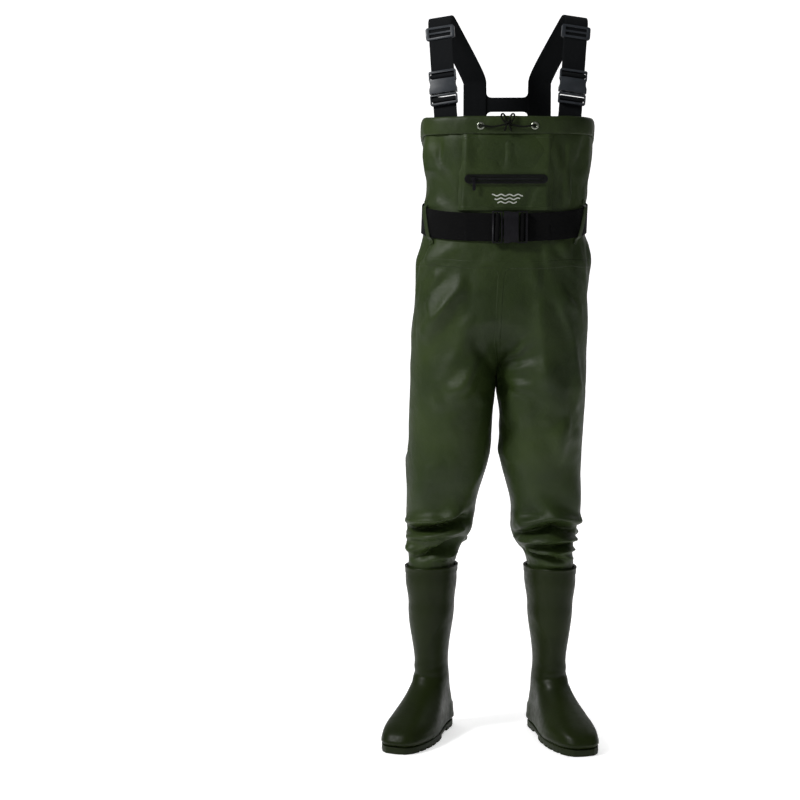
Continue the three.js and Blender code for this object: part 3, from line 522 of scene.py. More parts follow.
BACK_FOLDS = [
    ([(-0.150, 0.960), (-0.060, 0.880), (0.010, 0.820)], 0.018, 0.012),
    ([(0.160, 0.970), (0.080, 0.890), (0.020, 0.820)], 0.018, 0.012),
    ([(-0.120, 0.980), (-0.040, 0.900)], 0.012, -0.010),
    ([(0.140, 1.005), (0.060, 0.920)], 0.012, -0.010),
    ([(-0.020, 0.800), (-0.120, 0.720)], 0.012, -0.010),
    ([(0.030, 0.800), (0.130, 0.730)], 0.012, -0.010),
    ([(-0.170, 0.640), (-0.060, 0.580)], 0.014, -0.014),
    ([(-0.170, 0.610), (-0.070, 0.560)], 0.012, 0.010),
    ([(0.180, 0.630), (0.060, 0.580)], 0.014, -0.014),
    ([(0.180, 0.605), (0.070, 0.555)], 0.012, 0.010),
    ([(-0.170, 0.460), (-0.060, 0.445)], 0.010, -0.016),
    ([(0.060, 0.450), (0.190, 0.460)], 0.010, -0.016),
    ([(-0.170, 0.430), (-0.060, 0.420)], 0.010, 0.012),
    ([(0.060, 0.425), (0.190, 0.435)], 0.010, 0.012),
    ([(-0.090, 1.230), (-0.130, 1.170)], 0.014, -0.009),
    ([(0.140, 1.240), (0.170, 1.170)], 0.014, -0.009),
]


def fold_height(folds, x, z):
    """How far the folds lift or sink the cloth at one place."""
    total = 0.0
    for line, width, height in folds:
        best, where = 1.0, 0.0
        run = 0.0
        lengths = [math.dist(a, b) for a, b in zip(line, line[1:])]
        for (a, b), length in zip(zip(line, line[1:]), lengths):
            share = ((x - a[0]) * (b[0] - a[0]) + (z - a[1]) * (b[1] - a[1])) / length ** 2
            share = min(max(share, 0.0), 1.0)
            gap = math.dist((x, z), (mix(a[0], b[0], share), mix(a[1], b[1], share)))
            if gap < best:
                best, where = gap, (run + share * length) / sum(lengths)
            run += length
        if best < 3 * width:
            taper = math.sin(math.pi * mix(0.12, 0.88, where)) ** 0.7
            total += height * math.exp(-(best / width) ** 2) * taper
    return total


def belt_z(angle):
    """Height of the belt's middle: a little lower in front than behind."""
    return BELT_MIDDLE + BELT_BOW * math.sin(angle)


def free_share(place, angle):
    """1 where the cloth hangs free, 0 where the hem, belt or boot holds it."""
    top = 1 - smooth(place.z, bib_edge(angle) - 0.048, bib_edge(angle) - 0.030)
    belt = smooth(abs(place.z - belt_z(angle)), 0.029, 0.046)
    pocket = 1.0
    if place.y < TORSO_Y and place.z > BELT_MIDDLE:
        pocket = smooth(abs(place.x - lean(place.z)), 0.094, 0.108)
    return top * belt * pocket * smooth(place.z, 0.490, 0.600)


def swell(place, angle):
    """Where the cloth stands out in one broad roll: under the hem and round the belt."""
    under_hem = bib_edge(angle) - place.z
    below_belt = belt_z(angle) - place.z
    out = 0.0050 * smooth(under_hem, 0.026, 0.044) * (1 - smooth(under_hem, 0.060, 0.150))
    out += 0.0100 * smooth(below_belt, 0.030, 0.056) * (1 - smooth(below_belt, 0.060, 0.150))
    return out + 0.0030 * smooth(-below_belt, 0.030, 0.050) * (1 - smooth(-below_belt, 0.050, 0.090))


FOLD_STRENGTH = 2.0
SKIN_PLACES = [vert.co.copy() for vert in skin.verts]
SKIN_ANGLES = [math.atan2(place.y - TORSO_Y, place.x - lean(place.z)) for place in SKIN_PLACES]
SKIN_FREE = [free_share(place, angle) for place, angle in zip(SKIN_PLACES, SKIN_ANGLES)]
for vert, free, angle in zip(skin.verts, SKIN_FREE, SKIN_ANGLES):
    facing = vert.normal.y
    lift = fold_height(FRONT_FOLDS, vert.co.x, vert.co.z) * smooth(-facing, 0.0, 0.4)
    lift += fold_height(BACK_FOLDS, vert.co.x, vert.co.z) * smooth(facing, 0.0, 0.4)
    drift = noise.noise(vert.co * 11) * 0.007 + noise.noise(vert.co * 26 + Vector((3, 1, 7))) * 0.004
    z = vert.co.z
    shaped = smooth(bib_edge(angle) - z, 0.026, 0.044) * smooth(z, 1.19, 1.22) * 0.6
    free = max(free, shaped, smooth(z, RIM + 0.001, RIM + 0.012) * (1 - smooth(z, 0.60, 0.65)))
    fullness = swell(vert.co, angle) if free > 0 else 0.0
    vert.co += vert.normal * ((FOLD_STRENGTH * lift + drift) * free + fullness)
print("folds:", len(FRONT_FOLDS), "in front and", len(BACK_FOLDS), "behind")

# %% [markdown]
# The simulation needs three things: the cloth, what holds it, and what it lies on.
# The hem, the belt and the boots hold it. Inside stands a form a little smaller than
# the garment, which only keeps it from falling flat. A second shape key holds the
# cut: the legs are longer and wider than they hang, and this spare cloth is what
# turns into folds.

# %% Simulate the hanging cloth
SIM_FRAMES = 26
LEG_SPARE = 0.055
GIRTH_SPARE = 0.030


def link_mesh(name, mesh_or_bmesh):
    """Makes an object from a mesh or a bmesh and links it to the scene."""
    mesh = mesh_or_bmesh
    if isinstance(mesh_or_bmesh, bmesh.types.BMesh):
        mesh = bpy.data.meshes.new(name)
        mesh_or_bmesh.to_mesh(mesh)
        mesh_or_bmesh.free()
    made = bpy.data.objects.new(name, mesh)
    scene.collection.objects.link(made)
    return made


def body_form(inset=0.008):
    """The smaller form that stands inside the cloth: two legs and the trunk above."""
    mesh = bmesh.new()

    def leg_ring(side, z):
        front = [leg_panel_point(side, -1, k / 12, z, -inset) for k in range(13)]
        back = [leg_panel_point(side, 1, k / 12, z, -inset) for k in range(13)]
        return front + back[-2:0:-1]

    def trunk_ring(side, z):
        return [torso_point(math.tau * k / 48, z, -inset) for k in range(48)]
    for side, ring, low, high in ((-1, leg_ring, 0.34, WAIST), (1, leg_ring, 0.34, WAIST),
                                  (0, trunk_ring, WAIST, BIB_TOP - 0.02)):
        levels = [mix(low, high, j / 32) for j in range(33)]
        rings = [[mesh.verts.new(point) for point in ring(side, level)] for level in levels]
        count = len(rings[0])
        for lower, upper in zip(rings, rings[1:]):
            for i in range(count):
                k = (i + 1) % count
                mesh.faces.new((lower[i], lower[k], upper[k], upper[i]))
    bmesh.ops.recalc_face_normals(mesh, faces=mesh.faces)
    return link_mesh("form", mesh)


def simulate(cloth, frames):
    """Runs the cloth over the form and returns where its points came to rest."""
    form = body_form()
    form.modifiers.new("collision", "COLLISION")
    form.collision.thickness_outer = 0.002
    modifier = cloth.modifiers.new("cloth", "CLOTH")
    settings = modifier.settings
    settings.quality = 6
    settings.mass = 0.012
    settings.air_damping = 3.0
    settings.tension_stiffness = 25
    settings.compression_stiffness = 25
    settings.shear_stiffness = 6
    settings.bending_stiffness = 0.3
    settings.tension_damping = 6
    settings.compression_damping = 6
    settings.bending_damping = 0.6
    settings.vertex_group_mass = "held"
    settings.rest_shape_key = cloth.data.shape_keys.key_blocks["cut"]
    modifier.collision_settings.collision_quality = 2
    modifier.collision_settings.distance_min = 0.003
    settings.effector_weights.gravity = 0.5
    modifier.point_cache.frame_end = frames
    scene.frame_end = frames
    for frame_number in range(1, frames + 1):
        scene.frame_set(frame_number)
    hung = cloth.evaluated_get(bpy.context.evaluated_depsgraph_get())
    places = [vert.co.copy() for vert in hung.data.vertices]
    scene.frame_set(1)
    bpy.data.objects.remove(form)
    return places


def relax(places, edges, free, passes):
    """Evens out creases that are sharper than the stiff cloth would keep."""
    near = [[] for _ in places]
    for a, b in edges:
        near[a].append(b)
        near[b].append(a)
    for _ in range(passes):
        places = [place.lerp(sum((places[k] for k in around), Vector()) / len(around), 0.5 * share)
                  for place, around, share in zip(places, near, free)]
    return places


cloth = link_mesh("hanging_cloth", skin)
held = cloth.vertex_groups.new(name="held")
for index, free in enumerate(SKIN_FREE):
    held.add([index], (1 - free) ** 2, "REPLACE")
cloth.shape_key_add(name="hung")
cut = cloth.shape_key_add(name="cut")
for point in cut.data:
    x, y, z = point.co
    below = max(WAIST - z, 0.0)
    spare = GIRTH_SPARE * smooth(below, 0.0, 0.10)
    side = -1 if x < lean(z) else 1
    centre = lean(z) + side * 0.1 * smooth(below, 0.12, 0.30)
    point.co = (centre + (x - centre) * (1 + spare), TORSO_Y + (y - TORSO_Y) * (1 + spare),
                z - LEG_SPARE * below)

edges = [tuple(edge.vertices) for edge in cloth.data.edges]
hung_places = relax(simulate(cloth, SIM_FRAMES), edges, SKIN_FREE, 3)
above_knee = [smooth(place.z, 0.475, 0.495) * (1 - smooth(place.z, 0.56, 0.60))
              for place in hung_places]
hung_places = relax(hung_places, edges, above_knee, 16)
moved = max((laid - hung).length for laid, hung in zip(SKIN_PLACES, hung_places))
print("cloth moved up to", round(moved * 1000), "mm")

# %% [markdown]
# Each panel takes its own faces of the hung skin, with the cloth's thickness added
# on the inside. The seams are welded laps about 7 mm wide. They are too fine for
# this mesh, so each point keeps its distance from the nearest seam and the cloth's
# material draws the lap from that.

# %% Cut the skin into panels
CLOTH_THICKNESS = 0.0012
TAPE_HALF = 0.0078


def finish_piece(made, body, material=None, stands_for=(), thickness=None,
                 bevel=None, angle=35):
    """Gives a piece its modifiers, applies them, and puts it in its body, if it has one.

    body is the body that it rides on. When it is a tuple of two bodies and the points
    of a bend, these are not used: the piece is only baked where it stands, in no body."""
    if material is not None:
        made.data.materials.clear()
        made.data.materials.append(material)
    if thickness:
        shell = made.modifiers.new("thickness", "SOLIDIFY")
        shell.thickness, shell.offset = thickness, -1.0
    if bevel:
        edge = made.modifiers.new("edges", "BEVEL")
        edge.width, edge.segments, edge.limit_method = bevel, 3, "ANGLE"
        edge.angle_limit, edge.use_clamp_overlap = math.radians(25), True
    if made.modifiers:
        done = made.evaluated_get(bpy.context.evaluated_depsgraph_get())
        mesh = bpy.data.meshes.new_from_object(done)
        made.modifiers.clear()
        made.data = mesh
    made.data.shade_smooth()
    made.data.set_sharp_from_angle(angle=math.radians(angle))
    if isinstance(body, str):
        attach(made, body)
    else:
        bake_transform(made)
    if stands_for:
        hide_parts(*stands_for)
    return made


panel_of = [value.value for value in cloth.data.attributes["panel"].data]
seam_of = [value.value for value in cloth.data.attributes["seam"].data]
cloth_faces = [tuple(face.vertices) for face in cloth.data.polygons]
cloth_normals = []


def piece_of_skin(name, keep, inset=0.0):
    """A new mesh from the faces of the hung skin that keep accepts."""
    faces = [face for index, face in enumerate(cloth_faces) if keep(index, face)]
    used = sorted({point for face in faces for point in face})
    renumber = {point: k for k, point in enumerate(used)}
    mesh = bpy.data.meshes.new(name)
    places = [hung_places[point] - cloth_normals[point] * inset for point in used]
    mesh.from_pydata(places, [], [[renumber[point] for point in face] for face in faces])
    seams = mesh.attributes.new("seam", "FLOAT", "POINT")
    seams.data.foreach_set("value", [seam_of[point] for point in used])
    return link_mesh(name, mesh)


cloth.shape_key_clear()
cloth.modifiers.clear()
for vert, place in zip(cloth.data.vertices, hung_places):
    vert.co = place
cloth.data.update()
cloth_normals = [vert.normal.copy() for vert in cloth.data.vertices]
for number, name in enumerate(PANELS):
    panel = piece_of_skin(name + "_cloth", lambda index, face, number=number: panel_of[index] == number)
    finish_piece(panel, "root", nylon, [name], CLOTH_THICKNESS, angle=70)
tape = piece_of_skin("waist_seam_tape_cloth",
                     lambda index, face: all(abs(SKIN_PLACES[point].z - WAIST) < TAPE_HALF
                                             for point in face),
                     inset=0.0030)
finish_piece(tape, "root", nylon_tape, ["waist_seam_tape"], 0.0004)
bpy.data.objects.remove(cloth)
print("panels:", ", ".join(PANELS))

# %% [markdown]
# ## Hem, eyelets and drawcord
# The bib's top edge is folded over and stitched down as a channel for the cord. It
# could be a plain band, but a stitched channel always puckers, because the machine
# feeds the two layers at slightly different speeds. So the band has small uneven
# gathers that grow towards the stitch line.

# %% Sew the hem casing
HEM_PROFILE = [(0.8, -1.6), (1.4, -0.4), (3.2, 0.2), (5.4, -0.8), (7.2, -3.6), (8.0, -9.0), (8.2, -15.0),
               (8.2, -20.0), (8.0, -25.0), (7.7, -30.0), (7.3, -33.6), (6.9, -35.4), (6.2, -36.2),
               (4.0, -36.2), (1.0, -35.8), (1.0, -34.8), (3.4, -34.8), (5.6, -34.0), (6.3, -30.0),
               (6.7, -24.4), (7.0, -20.0), (7.0, -15.0), (6.8, -9.6), (6.0, -5.2), (4.8, -2.4),
               (3.2, -1.4), (1.8, -1.9)]


def ring_mesh(name, rings):
    """Joins closed loops of points into one closed tube that meets its own start."""
    mesh = bmesh.new()
    loops = [[mesh.verts.new(point) for point in ring] for ring in rings]
    count = len(rings[0])
    for k, loop in enumerate(loops):
        following = loops[(k + 1) % len(loops)]
        for i in range(count):
            n = (i + 1) % count
            mesh.faces.new((loop[i], loop[n], following[n], following[i]))
    bmesh.ops.recalc_face_normals(mesh, faces=mesh.faces)
    return link_mesh(name, mesh)


def hem_ring(k, count=300):
    angle = math.tau * k / count
    edge = bib_edge(angle)
    around = torso_point(angle, edge)
    ring = []
    for offset, rise in HEM_PROFILE:
        low = smooth(-rise, 16.0, 34.0)
        fine = noise.noise(around * 95 + Vector((0, 0, rise * 0.05)))
        broad = noise.noise(around * 32 + Vector((5, 2, rise * 0.03)))
        gather = fine * mix(0.25, 0.9, low) + broad * 0.9
        if offset < 1.2:
            gather = min(gather, 0.0) * 0.3
        point = torso_point(angle, edge, (offset + gather) / 1000)
        point.z += rise / 1000 + noise.noise(around * 26) * 0.0012 * (1 - smooth(-rise, 10.0, 30.0))
        ring.append(point)
    return ring


hem = ring_mesh("hem_casing_cloth", [hem_ring(k) for k in range(300)])
finish_piece(hem, "root", nylon_tape, ["hem_casing"], angle=60)

# %% [markdown]
# Brass eyelets are pressed through the channel and their edges roll over, so each
# one is turned from a rounded profile. The cord is a 4 mm round braid, swept along a
# spline, with one helper that's used for every cord and web below.

# %% Write the sweep helper


def spline(points, step):
    """A smooth curve through the points, cut into steps of about one length."""
    points = [Vector(point) for point in points]
    ends = [points[0] * 2 - points[1]] + points + [points[-1] * 2 - points[-2]]
    curve = []
    for k in range(1, len(ends) - 2):
        before, start, end, after = ends[k - 1:k + 3]
        count = max(2, round((end - start).length / step))
        for i in range(count):
            t = i / count
            curve.append(0.5 * (2 * start + (end - before) * t
                                + (2 * before - 5 * start + 4 * end - after) * t ** 2
                                + (3 * start - before - 3 * end + after) * t ** 3))
    return curve + [points[-1]]


def sweep(name, path, across, section):
    """Carries a closed section along a path. across says which way its x side points."""
    mesh = bmesh.new()
    uv = mesh.loops.layers.uv.new("UVMap")
    girth = [0.0]
    for a, b in zip(section, section[1:] + section[:1]):
        girth.append(girth[-1] + math.dist(a, b))
    rings, runs, run = [], [], 0.0
    for i, point in enumerate(path):
        along = (path[min(i + 1, len(path) - 1)] - path[max(i - 1, 0)]).normalized()
        side = across(i / (len(path) - 1)) if callable(across) else Vector(across)
        side = (side - along * side.dot(along)).normalized()
        up = along.cross(side)
        run += (point - path[i - 1]).length if i else 0.0
        runs.append(run)
        rings.append([mesh.verts.new(point + side * s + up * t) for s, t in section])
    count = len(section)
    for i in range(len(rings) - 1):
        for k in range(count):
            n = (k + 1) % count
            face = mesh.faces.new((rings[i][k], rings[i][n], rings[i + 1][n], rings[i + 1][k]))
            places = [(girth[k], runs[i]), (girth[k + 1], runs[i]),
                      (girth[k + 1], runs[i + 1]), (girth[k], runs[i + 1])]
            for loop, place in zip(face.loops, places):
                loop[uv].uv = place
    for ring in (rings[0], rings[-1]):
        mesh.faces.new(ring)
    bmesh.ops.recalc_face_normals(mesh, faces=mesh.faces)
    return link_mesh(name, mesh)


def round_section(radius, count=12):
    return [(radius * math.cos(math.tau * k / count), radius * math.sin(math.tau * k / count))
            for k in range(count)]


def web_section(width, thickness, count=16):
    """A flat web's section, with round selvedges and its middle a hair thinner."""
    half_width, half_thick = width / 2, thickness / 2
    flat = half_width - half_thick
    section = []
    for side in (1, -1):
        for k in range(5):
            angle = side * math.pi / 2 - math.pi / 2 + math.pi * (k / 4 - 0.5)
            section.append((side * flat + half_thick * math.cos(angle), half_thick * math.sin(angle)))
        for k in range(1, count):
            share = k / count
            hollow = 1 - 0.08 * math.sin(math.pi * share)
            section.append((side * mix(flat, -flat, share), side * half_thick * hollow))
    return section

# %% Press in the eyelets and thread the cord


def lathe(name, profile, count=40):
    """Turns a closed profile of (radius, height) round the local Y axis."""
    rings = []
    for k in range(count):
        angle = math.tau * k / count
        rings.append([Vector((r * math.cos(angle), h, r * math.sin(angle))) for r, h in profile])
    return ring_mesh(name, rings)


HEM_OUT = 0.0085
CORD_DROP = 0.020
BIB_MIDDLE = lean(BIB_TOP)


def eyelet_angle(side):
    reach = math.acos((0.0556 / (TORSO[-1][1][0] + HEM_OUT)) ** (ROUNDNESS / 2))
    return -reach if side > 0 else reach - math.pi


def eyelet_place(side, offset):
    angle = eyelet_angle(side)
    return torso_point(angle, bib_edge(angle) - CORD_DROP, offset)


ROLLED = [(3.9, 1.8), (3.95, 0.2), (4.3, -0.7), (5.0, -1.15), (5.9, -1.25), (6.9, -1.0), (7.7, -0.4),
          (8.0, 0.1), (7.6, 0.25), (6.6, -0.1), (5.6, -0.2), (4.8, 0.1), (4.5, 0.7), (4.5, 1.8)]
for word, side in SIDES.items():
    ring = lathe(f"{word}_eyelet_ring", [(r / 1000, h / 1000) for r, h in ROLLED])
    ring.location = eyelet_place(side, HEM_OUT + 0.0004)
    finish_piece(ring, "root", nickel, [f"{word}_eyelet"], angle=60)

CORD_RADIUS = 0.002
hidden = []
for k in range(41):
    angle = mix(eyelet_angle(1) + 0.03, eyelet_angle(-1) + math.tau - 0.03, k / 40)
    hidden.append(torso_point(angle, bib_edge(angle), 0.00405) - Vector((0, 0, CORD_DROP)))
run = sweep("drawcord_run", spline(hidden, 0.006), (0, 0, 1), round_section(CORD_RADIUS))
finish_piece(run, "root", cord_braid, ["drawcord_in_casing"])

FRONT_Y = TORSO_Y - TORSO[-1][1][1] - HEM_OUT - CORD_RADIUS - 0.0016
KNOT = Vector((BIB_MIDDLE, FRONT_Y - 0.002, BIB_TOP - 0.017))
for word, side in SIDES.items():
    hole = eyelet_place(side, HEM_OUT)
    reach = abs(hole.x - KNOT.x) - 0.0045
    steps = [(0, hole.y + 0.0028, 0), (0.0004, hole.y - 0.0012, 0), (0.007, FRONT_Y, -0.0004),
             (0.026, FRONT_Y - 0.0006, -0.0024), (reach, KNOT.y, 0.0022)]
    route = [Vector((hole.x - side * x, y, hole.z + z)) for x, y, z in steps]
    end = sweep(f"drawcord_{word}_braid", spline(route, 0.0025), (0, 0, 1), round_section(CORD_RADIUS))
    finish_piece(end, "root", cord_braid, [f"drawcord_{word}_end"])


def join(name, pieces):
    """Makes one object from several."""
    mesh = bmesh.new()
    for piece in pieces:
        piece.data.transform(piece.matrix_basis)
        mesh.from_mesh(piece.data)
        bpy.data.objects.remove(piece)
    return link_mesh(name, mesh)


# The knot is a bow: two standing loops, two short ends and a turn that holds them.
strands = []
for side in (-1, 1):
    loop = [(1, 0, 0), (3.4, -1.4, 7), (5.2, -0.6, 15), (9.4, 0.6, 20.6), (13.2, 1.0, 19),
            (12.4, 0.4, 12), (7.4, -1.0, 5), (1.5, -0.6, -1)]
    tail = [(0.6, -1.2, 0.5), (3.2, -2.4, -4), (5.8, -1.4, -9.5), (6.6, 0.2, -14)]
    for points in (loop, tail):
        route = [KNOT + Vector((side * x, y, z)) / 1000 for x, y, z in points]
        strands.append(sweep("strand", spline(route, 0.0016), (0.2, 1, 0),
                             round_section(CORD_RADIUS * 0.95, 10)))
turn = [KNOT + Vector((4.6 * math.cos(a), -0.6 - 3.0 * math.sin(a), 1.2 + 2.6 * math.sin(a + 0.6))) / 1000
        for a in [math.tau * k / 10 for k in range(11)]]
strands.append(sweep("strand", spline(turn, 0.0014), (0, 0, 1), round_section(CORD_RADIUS, 10)))
bow = join("drawcord_bow", strands)
finish_piece(bow, "root", cord_braid, ["drawcord_knot"])
print("cord: 4 mm braid, knotted in front at", [round(c, 3) for c in KNOT])

# %% [markdown]
# ## Chest pocket and zipper
# The pocket is a flat patch of the same cloth with a bag behind it, and its zipper
# is welded on: a film surround with round ends, and nylon coils that a slider opens.

# %% Sew the pocket
BELT_TOP = BELT_MIDDLE - BELT_BOW + 0.029
ZIP_Z = 1.191
POCKET_TOP = BIB_TOP - 0.0368
POCKET_FOLDS = [
    ([(0.018, 1.286), (0.020, 1.210)], 0.009, -0.0030),
    ([(0.034, 1.282), (0.036, 1.220)], 0.008, 0.0018),
    ([(-0.052, 1.282), (-0.046, 1.215)], 0.010, 0.0020),
    ([(0.086, 1.282), (0.084, 1.220)], 0.008, -0.0020),
    ([(-0.060, 1.178), (-0.052, 1.132)], 0.009, -0.0022),
    ([(0.088, 1.176), (0.070, 1.132)], 0.008, -0.0022),
    ([(0.020, 1.170), (0.024, 1.132)], 0.010, 0.0018),
    ([(-0.030, 1.264), (0.076, 1.260)], 0.008, 0.0014),
]


def pocket_place(x, z, offset):
    """A point on the pocket: flat in front, and back to the bib at its sides."""
    flat = TORSO_Y - between(TORSO, z)[1] - offset
    return Vector((lean(z) + x, mix(flat, front_y(x, z, offset), smooth(abs(x), 0.084, 0.098)), z))


def patch(name, columns, rows, point):
    """A grid of points, each with its distance from the patch's edge."""
    mesh = bmesh.new()
    seam = mesh.verts.layers.float.new("seam")
    grid = [[mesh.verts.new(point(i / columns, j / rows)) for i in range(columns + 1)]
            for j in range(rows + 1)]
    wide = (grid[0][0].co - grid[0][-1].co).length
    tall = (grid[0][0].co - grid[-1][0].co).length
    for j, row in enumerate(grid):
        for i, vert in enumerate(row):
            across, up = i / columns, j / rows
            vert[seam] = min(across * wide, (1 - across) * wide, up * tall, (1 - up) * tall)
    for lower, upper in zip(grid, grid[1:]):
        for i in range(columns):
            mesh.faces.new((lower[i], lower[i + 1], upper[i + 1], upper[i]))
    return link_mesh(name, mesh)


def pocket_front(u, v):
    x, z = mix(-0.098, 0.098, u), mix(BELT_TOP + 0.006, POCKET_TOP, v)
    point = pocket_place(x, z, 0.0024)
    away = smooth(abs(z - ZIP_Z), 0.010, 0.022) * smooth(min(u, 1 - u, v, 1 - v), 0.0, 0.06)
    swell = fold_height(POCKET_FOLDS, point.x, z) + noise.noise(point * 24) * 0.0011 + 0.0008
    return point + Vector((0, -max(swell, -0.0016) * away, 0))


pocket = patch("chest_pocket_panel_cloth", 64, 52, pocket_front)
finish_piece(pocket, "root", nylon, ["chest_pocket_panel"], CLOTH_THICKNESS, angle=60)


def pocket_inside(u, v):
    x, z = mix(-0.084, 0.084, u), mix(WAIST + 0.012, ZIP_Z + 0.019, v)
    depth = front_y(x, z) + 0.0037 + 0.0024
    return Vector((lean(z) + x, depth + noise.noise(Vector((x, 0, z)) * 22) * 0.0012, z))


bag = patch("chest_pocket_bag_cloth", 30, 32, pocket_inside)
finish_piece(bag, "root", nylon_tape, ["chest_pocket_bag"], 0.0010, angle=60)

# %% [markdown]
# A small white mark is printed below the zipper. It's a plain sign for water: three
# short waves, each one a thin film of ink that lies on the cloth.

# %% Print the mark
ink, ink_tree, ink_shader, ink_place = start_material("White screen-print ink", 0.6)
wear = cloudy(ink_tree, ink_place.outputs["Object"], 0.002)
ink_tree.links.new(mix_colours(ink_tree, spread(ink_tree, wear, 0.3, 0.5), "#aab0a4", "#d9dcd4"),
                   ink_shader.inputs["Base Color"])
MARK_Z, ROW_STEP, MARK_HALF = 1.158, 0.0075, 0.032
POCKET_WIDTH = 0.196
INK = [(-0.0012, 0), (0.0012, 0), (0.0012, 0.0001), (-0.0012, 0.0001)]
waves = []
for row in range(3):
    reach = MARK_HALF - 0.006 * row
    route = []
    for k in range(41):
        x = mix(-reach, reach, k / 40)
        z = MARK_Z - ROW_STEP * row + 0.0016 * math.sin(x * 360)
        across = (x + 0.004 + 0.098) / POCKET_WIDTH
        place = pocket_front(across, (z - BELT_TOP - 0.006) / (POCKET_TOP - BELT_TOP - 0.006))
        route.append(place + Vector((0, -0.00012, 0)))
    waves.append(sweep("wave", route, (0, 0, 1), INK))
mark = join("printed_wave_mark", waves)
finish_piece(mark, "root", ink)
print("mark: three printed waves")

# %% [markdown]
# The hard parts of the frame already have their working shapes, so each one is a
# copy of the frame's mesh with its edges rounded. Real mouldings have no sharp
# edges, and the thin highlight along a rounded edge is what makes plastic look
# like plastic.

# %% Round the hard parts' edges


def moulding(node, body, material, bevel):
    """Copies a frame node, merges its flat faces and rounds its edges."""
    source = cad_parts[node]
    mesh = bmesh.new()
    mesh.from_mesh(source.data)
    bmesh.ops.remove_doubles(mesh, verts=mesh.verts, dist=0.00002)
    bmesh.ops.dissolve_limit(mesh, angle_limit=math.radians(2), verts=mesh.verts, edges=mesh.edges)
    mesh.transform(source.matrix_world)
    return finish_piece(link_mesh(f"{node}_moulding", mesh), body, material, [node], bevel=bevel)


moulding("zipper_surround", "root", zip_film, 0.0004)
moulding("zipper_slider", "zipper_slider", black_acetal, 0.0005)
moulding("zipper_pull", "zipper_pull", black_acetal, 0.0003)
for word in SIDES:
    name = f"{word}_strap"
    moulding(f"{name}_buckle_male", "root", grey_acetal, 0.0008)
    moulding(f"{name}_buckle_female", f"{name}_female_half", grey_acetal, 0.0012)
    moulding(f"{name}_buckle_inner_arm", f"{name}_inner_arm", grey_acetal, 0.0008)
    moulding(f"{name}_buckle_outer_arm", f"{name}_outer_arm", grey_acetal, 0.0008)
    moulding(f"{name}_slider", f"{name}_slider", grey_acetal, 0.0010)
moulding("belt_buckle_male", "belt_male_half", black_acetal, 0.0008)
moulding("belt_buckle_female", "root", black_acetal, 0.0012)
moulding("belt_buckle_upper_arm", "belt_upper_arm", black_acetal, 0.0008)
moulding("belt_buckle_lower_arm", "belt_lower_arm", black_acetal, 0.0008)

# Zipper coil: two rows of small hooks that meet in the middle.
zip_x = lean(ZIP_Z)
zip_y = TORSO_Y - 0.116 - 0.0024 - 0.0004
teeth = bmesh.new()
TOOTH_PITCH = 0.0016
for k in range(round(0.148 / TOOTH_PITCH) - 1):
    side = 1 if k % 2 else -1
    x = zip_x - 0.074 + (k + 1) * TOOTH_PITCH
    bmesh.ops.create_icosphere(teeth, subdivisions=1, radius=0.0007, matrix=(
        Matrix.Translation((x, zip_y - 0.0008, ZIP_Z + side * 0.0007))
        @ Matrix.Diagonal((0.95, 0.9, 1.9, 1.0))))
bmesh.ops.create_cube(teeth, size=1.0, matrix=(
    Matrix.Translation((zip_x, zip_y - 0.0004, ZIP_Z)) @ Matrix.Diagonal((0.148, 0.0006, 0.0058, 1.0))))
coil = link_mesh("zipper_coil_teeth", teeth)
finish_piece(coil, "root", zip_coil, ["zipper_coil"])

# %% [markdown]
# ## Shoulder straps
# Each strap is 50 mm polyester webbing. A short lower web is sewn inside the bib
# and wraps the buckle's ladder bar. The upper web wraps the other half's bar, runs
# through a slider, turns over the shoulder and goes down the back. A web could be a
# flat plane, but its edge is 1.5 mm thick and catches the light, so every web is
# swept with round selvedges.

# %% Sew the straps
WEB_THICKNESS = 0.0015
WEB_Y = 5.35
STRAP_SPREAD = 0.132
STRAP = web_section(0.050, WEB_THICKNESS)
BAR_LOOP = [(WEB_Y, 13.5), (WEB_Y - 1.0, 15.1), (0.6, 15.6), (-1.9, 14.7), (-2.7, 11.5),
            (-1.9, 8.3), (0.4, 7.4), (2.6, 7.5)]


def strap_frame(side):
    """Where a strap's buckle stands, how it tilts back and how it turns outwards."""
    tilt = math.radians(13.3)
    hem_y = front_y(STRAP_SPREAD + 0.025, BIB_TOP, -0.0012) - 0.002
    place = Vector((BIB_MIDDLE + side * STRAP_SPREAD,
                    hem_y - WEB_Y / 1000 * math.cos(tilt) + 0.027 * math.tan(tilt), BIB_TOP + 0.027))
    turn = (Matrix.Rotation(side * math.radians(14), 4, "Z") @ Matrix.Rotation(-tilt, 4, "X")
            @ Matrix.Rotation(side * math.radians(7.5), 4, "Y"))
    return Matrix.Translation(place) @ turn


def strap_path(frame_matrix, points, step=0.004):
    return spline([frame_matrix @ Vector((0, y / 1000, z / 1000)) for y, z in points], step)


def web(name, path, across, section, nodes, material=strap_web, body="root"):
    made = sweep(name, path, across, section)
    return finish_piece(made, body, material, nodes, angle=50)


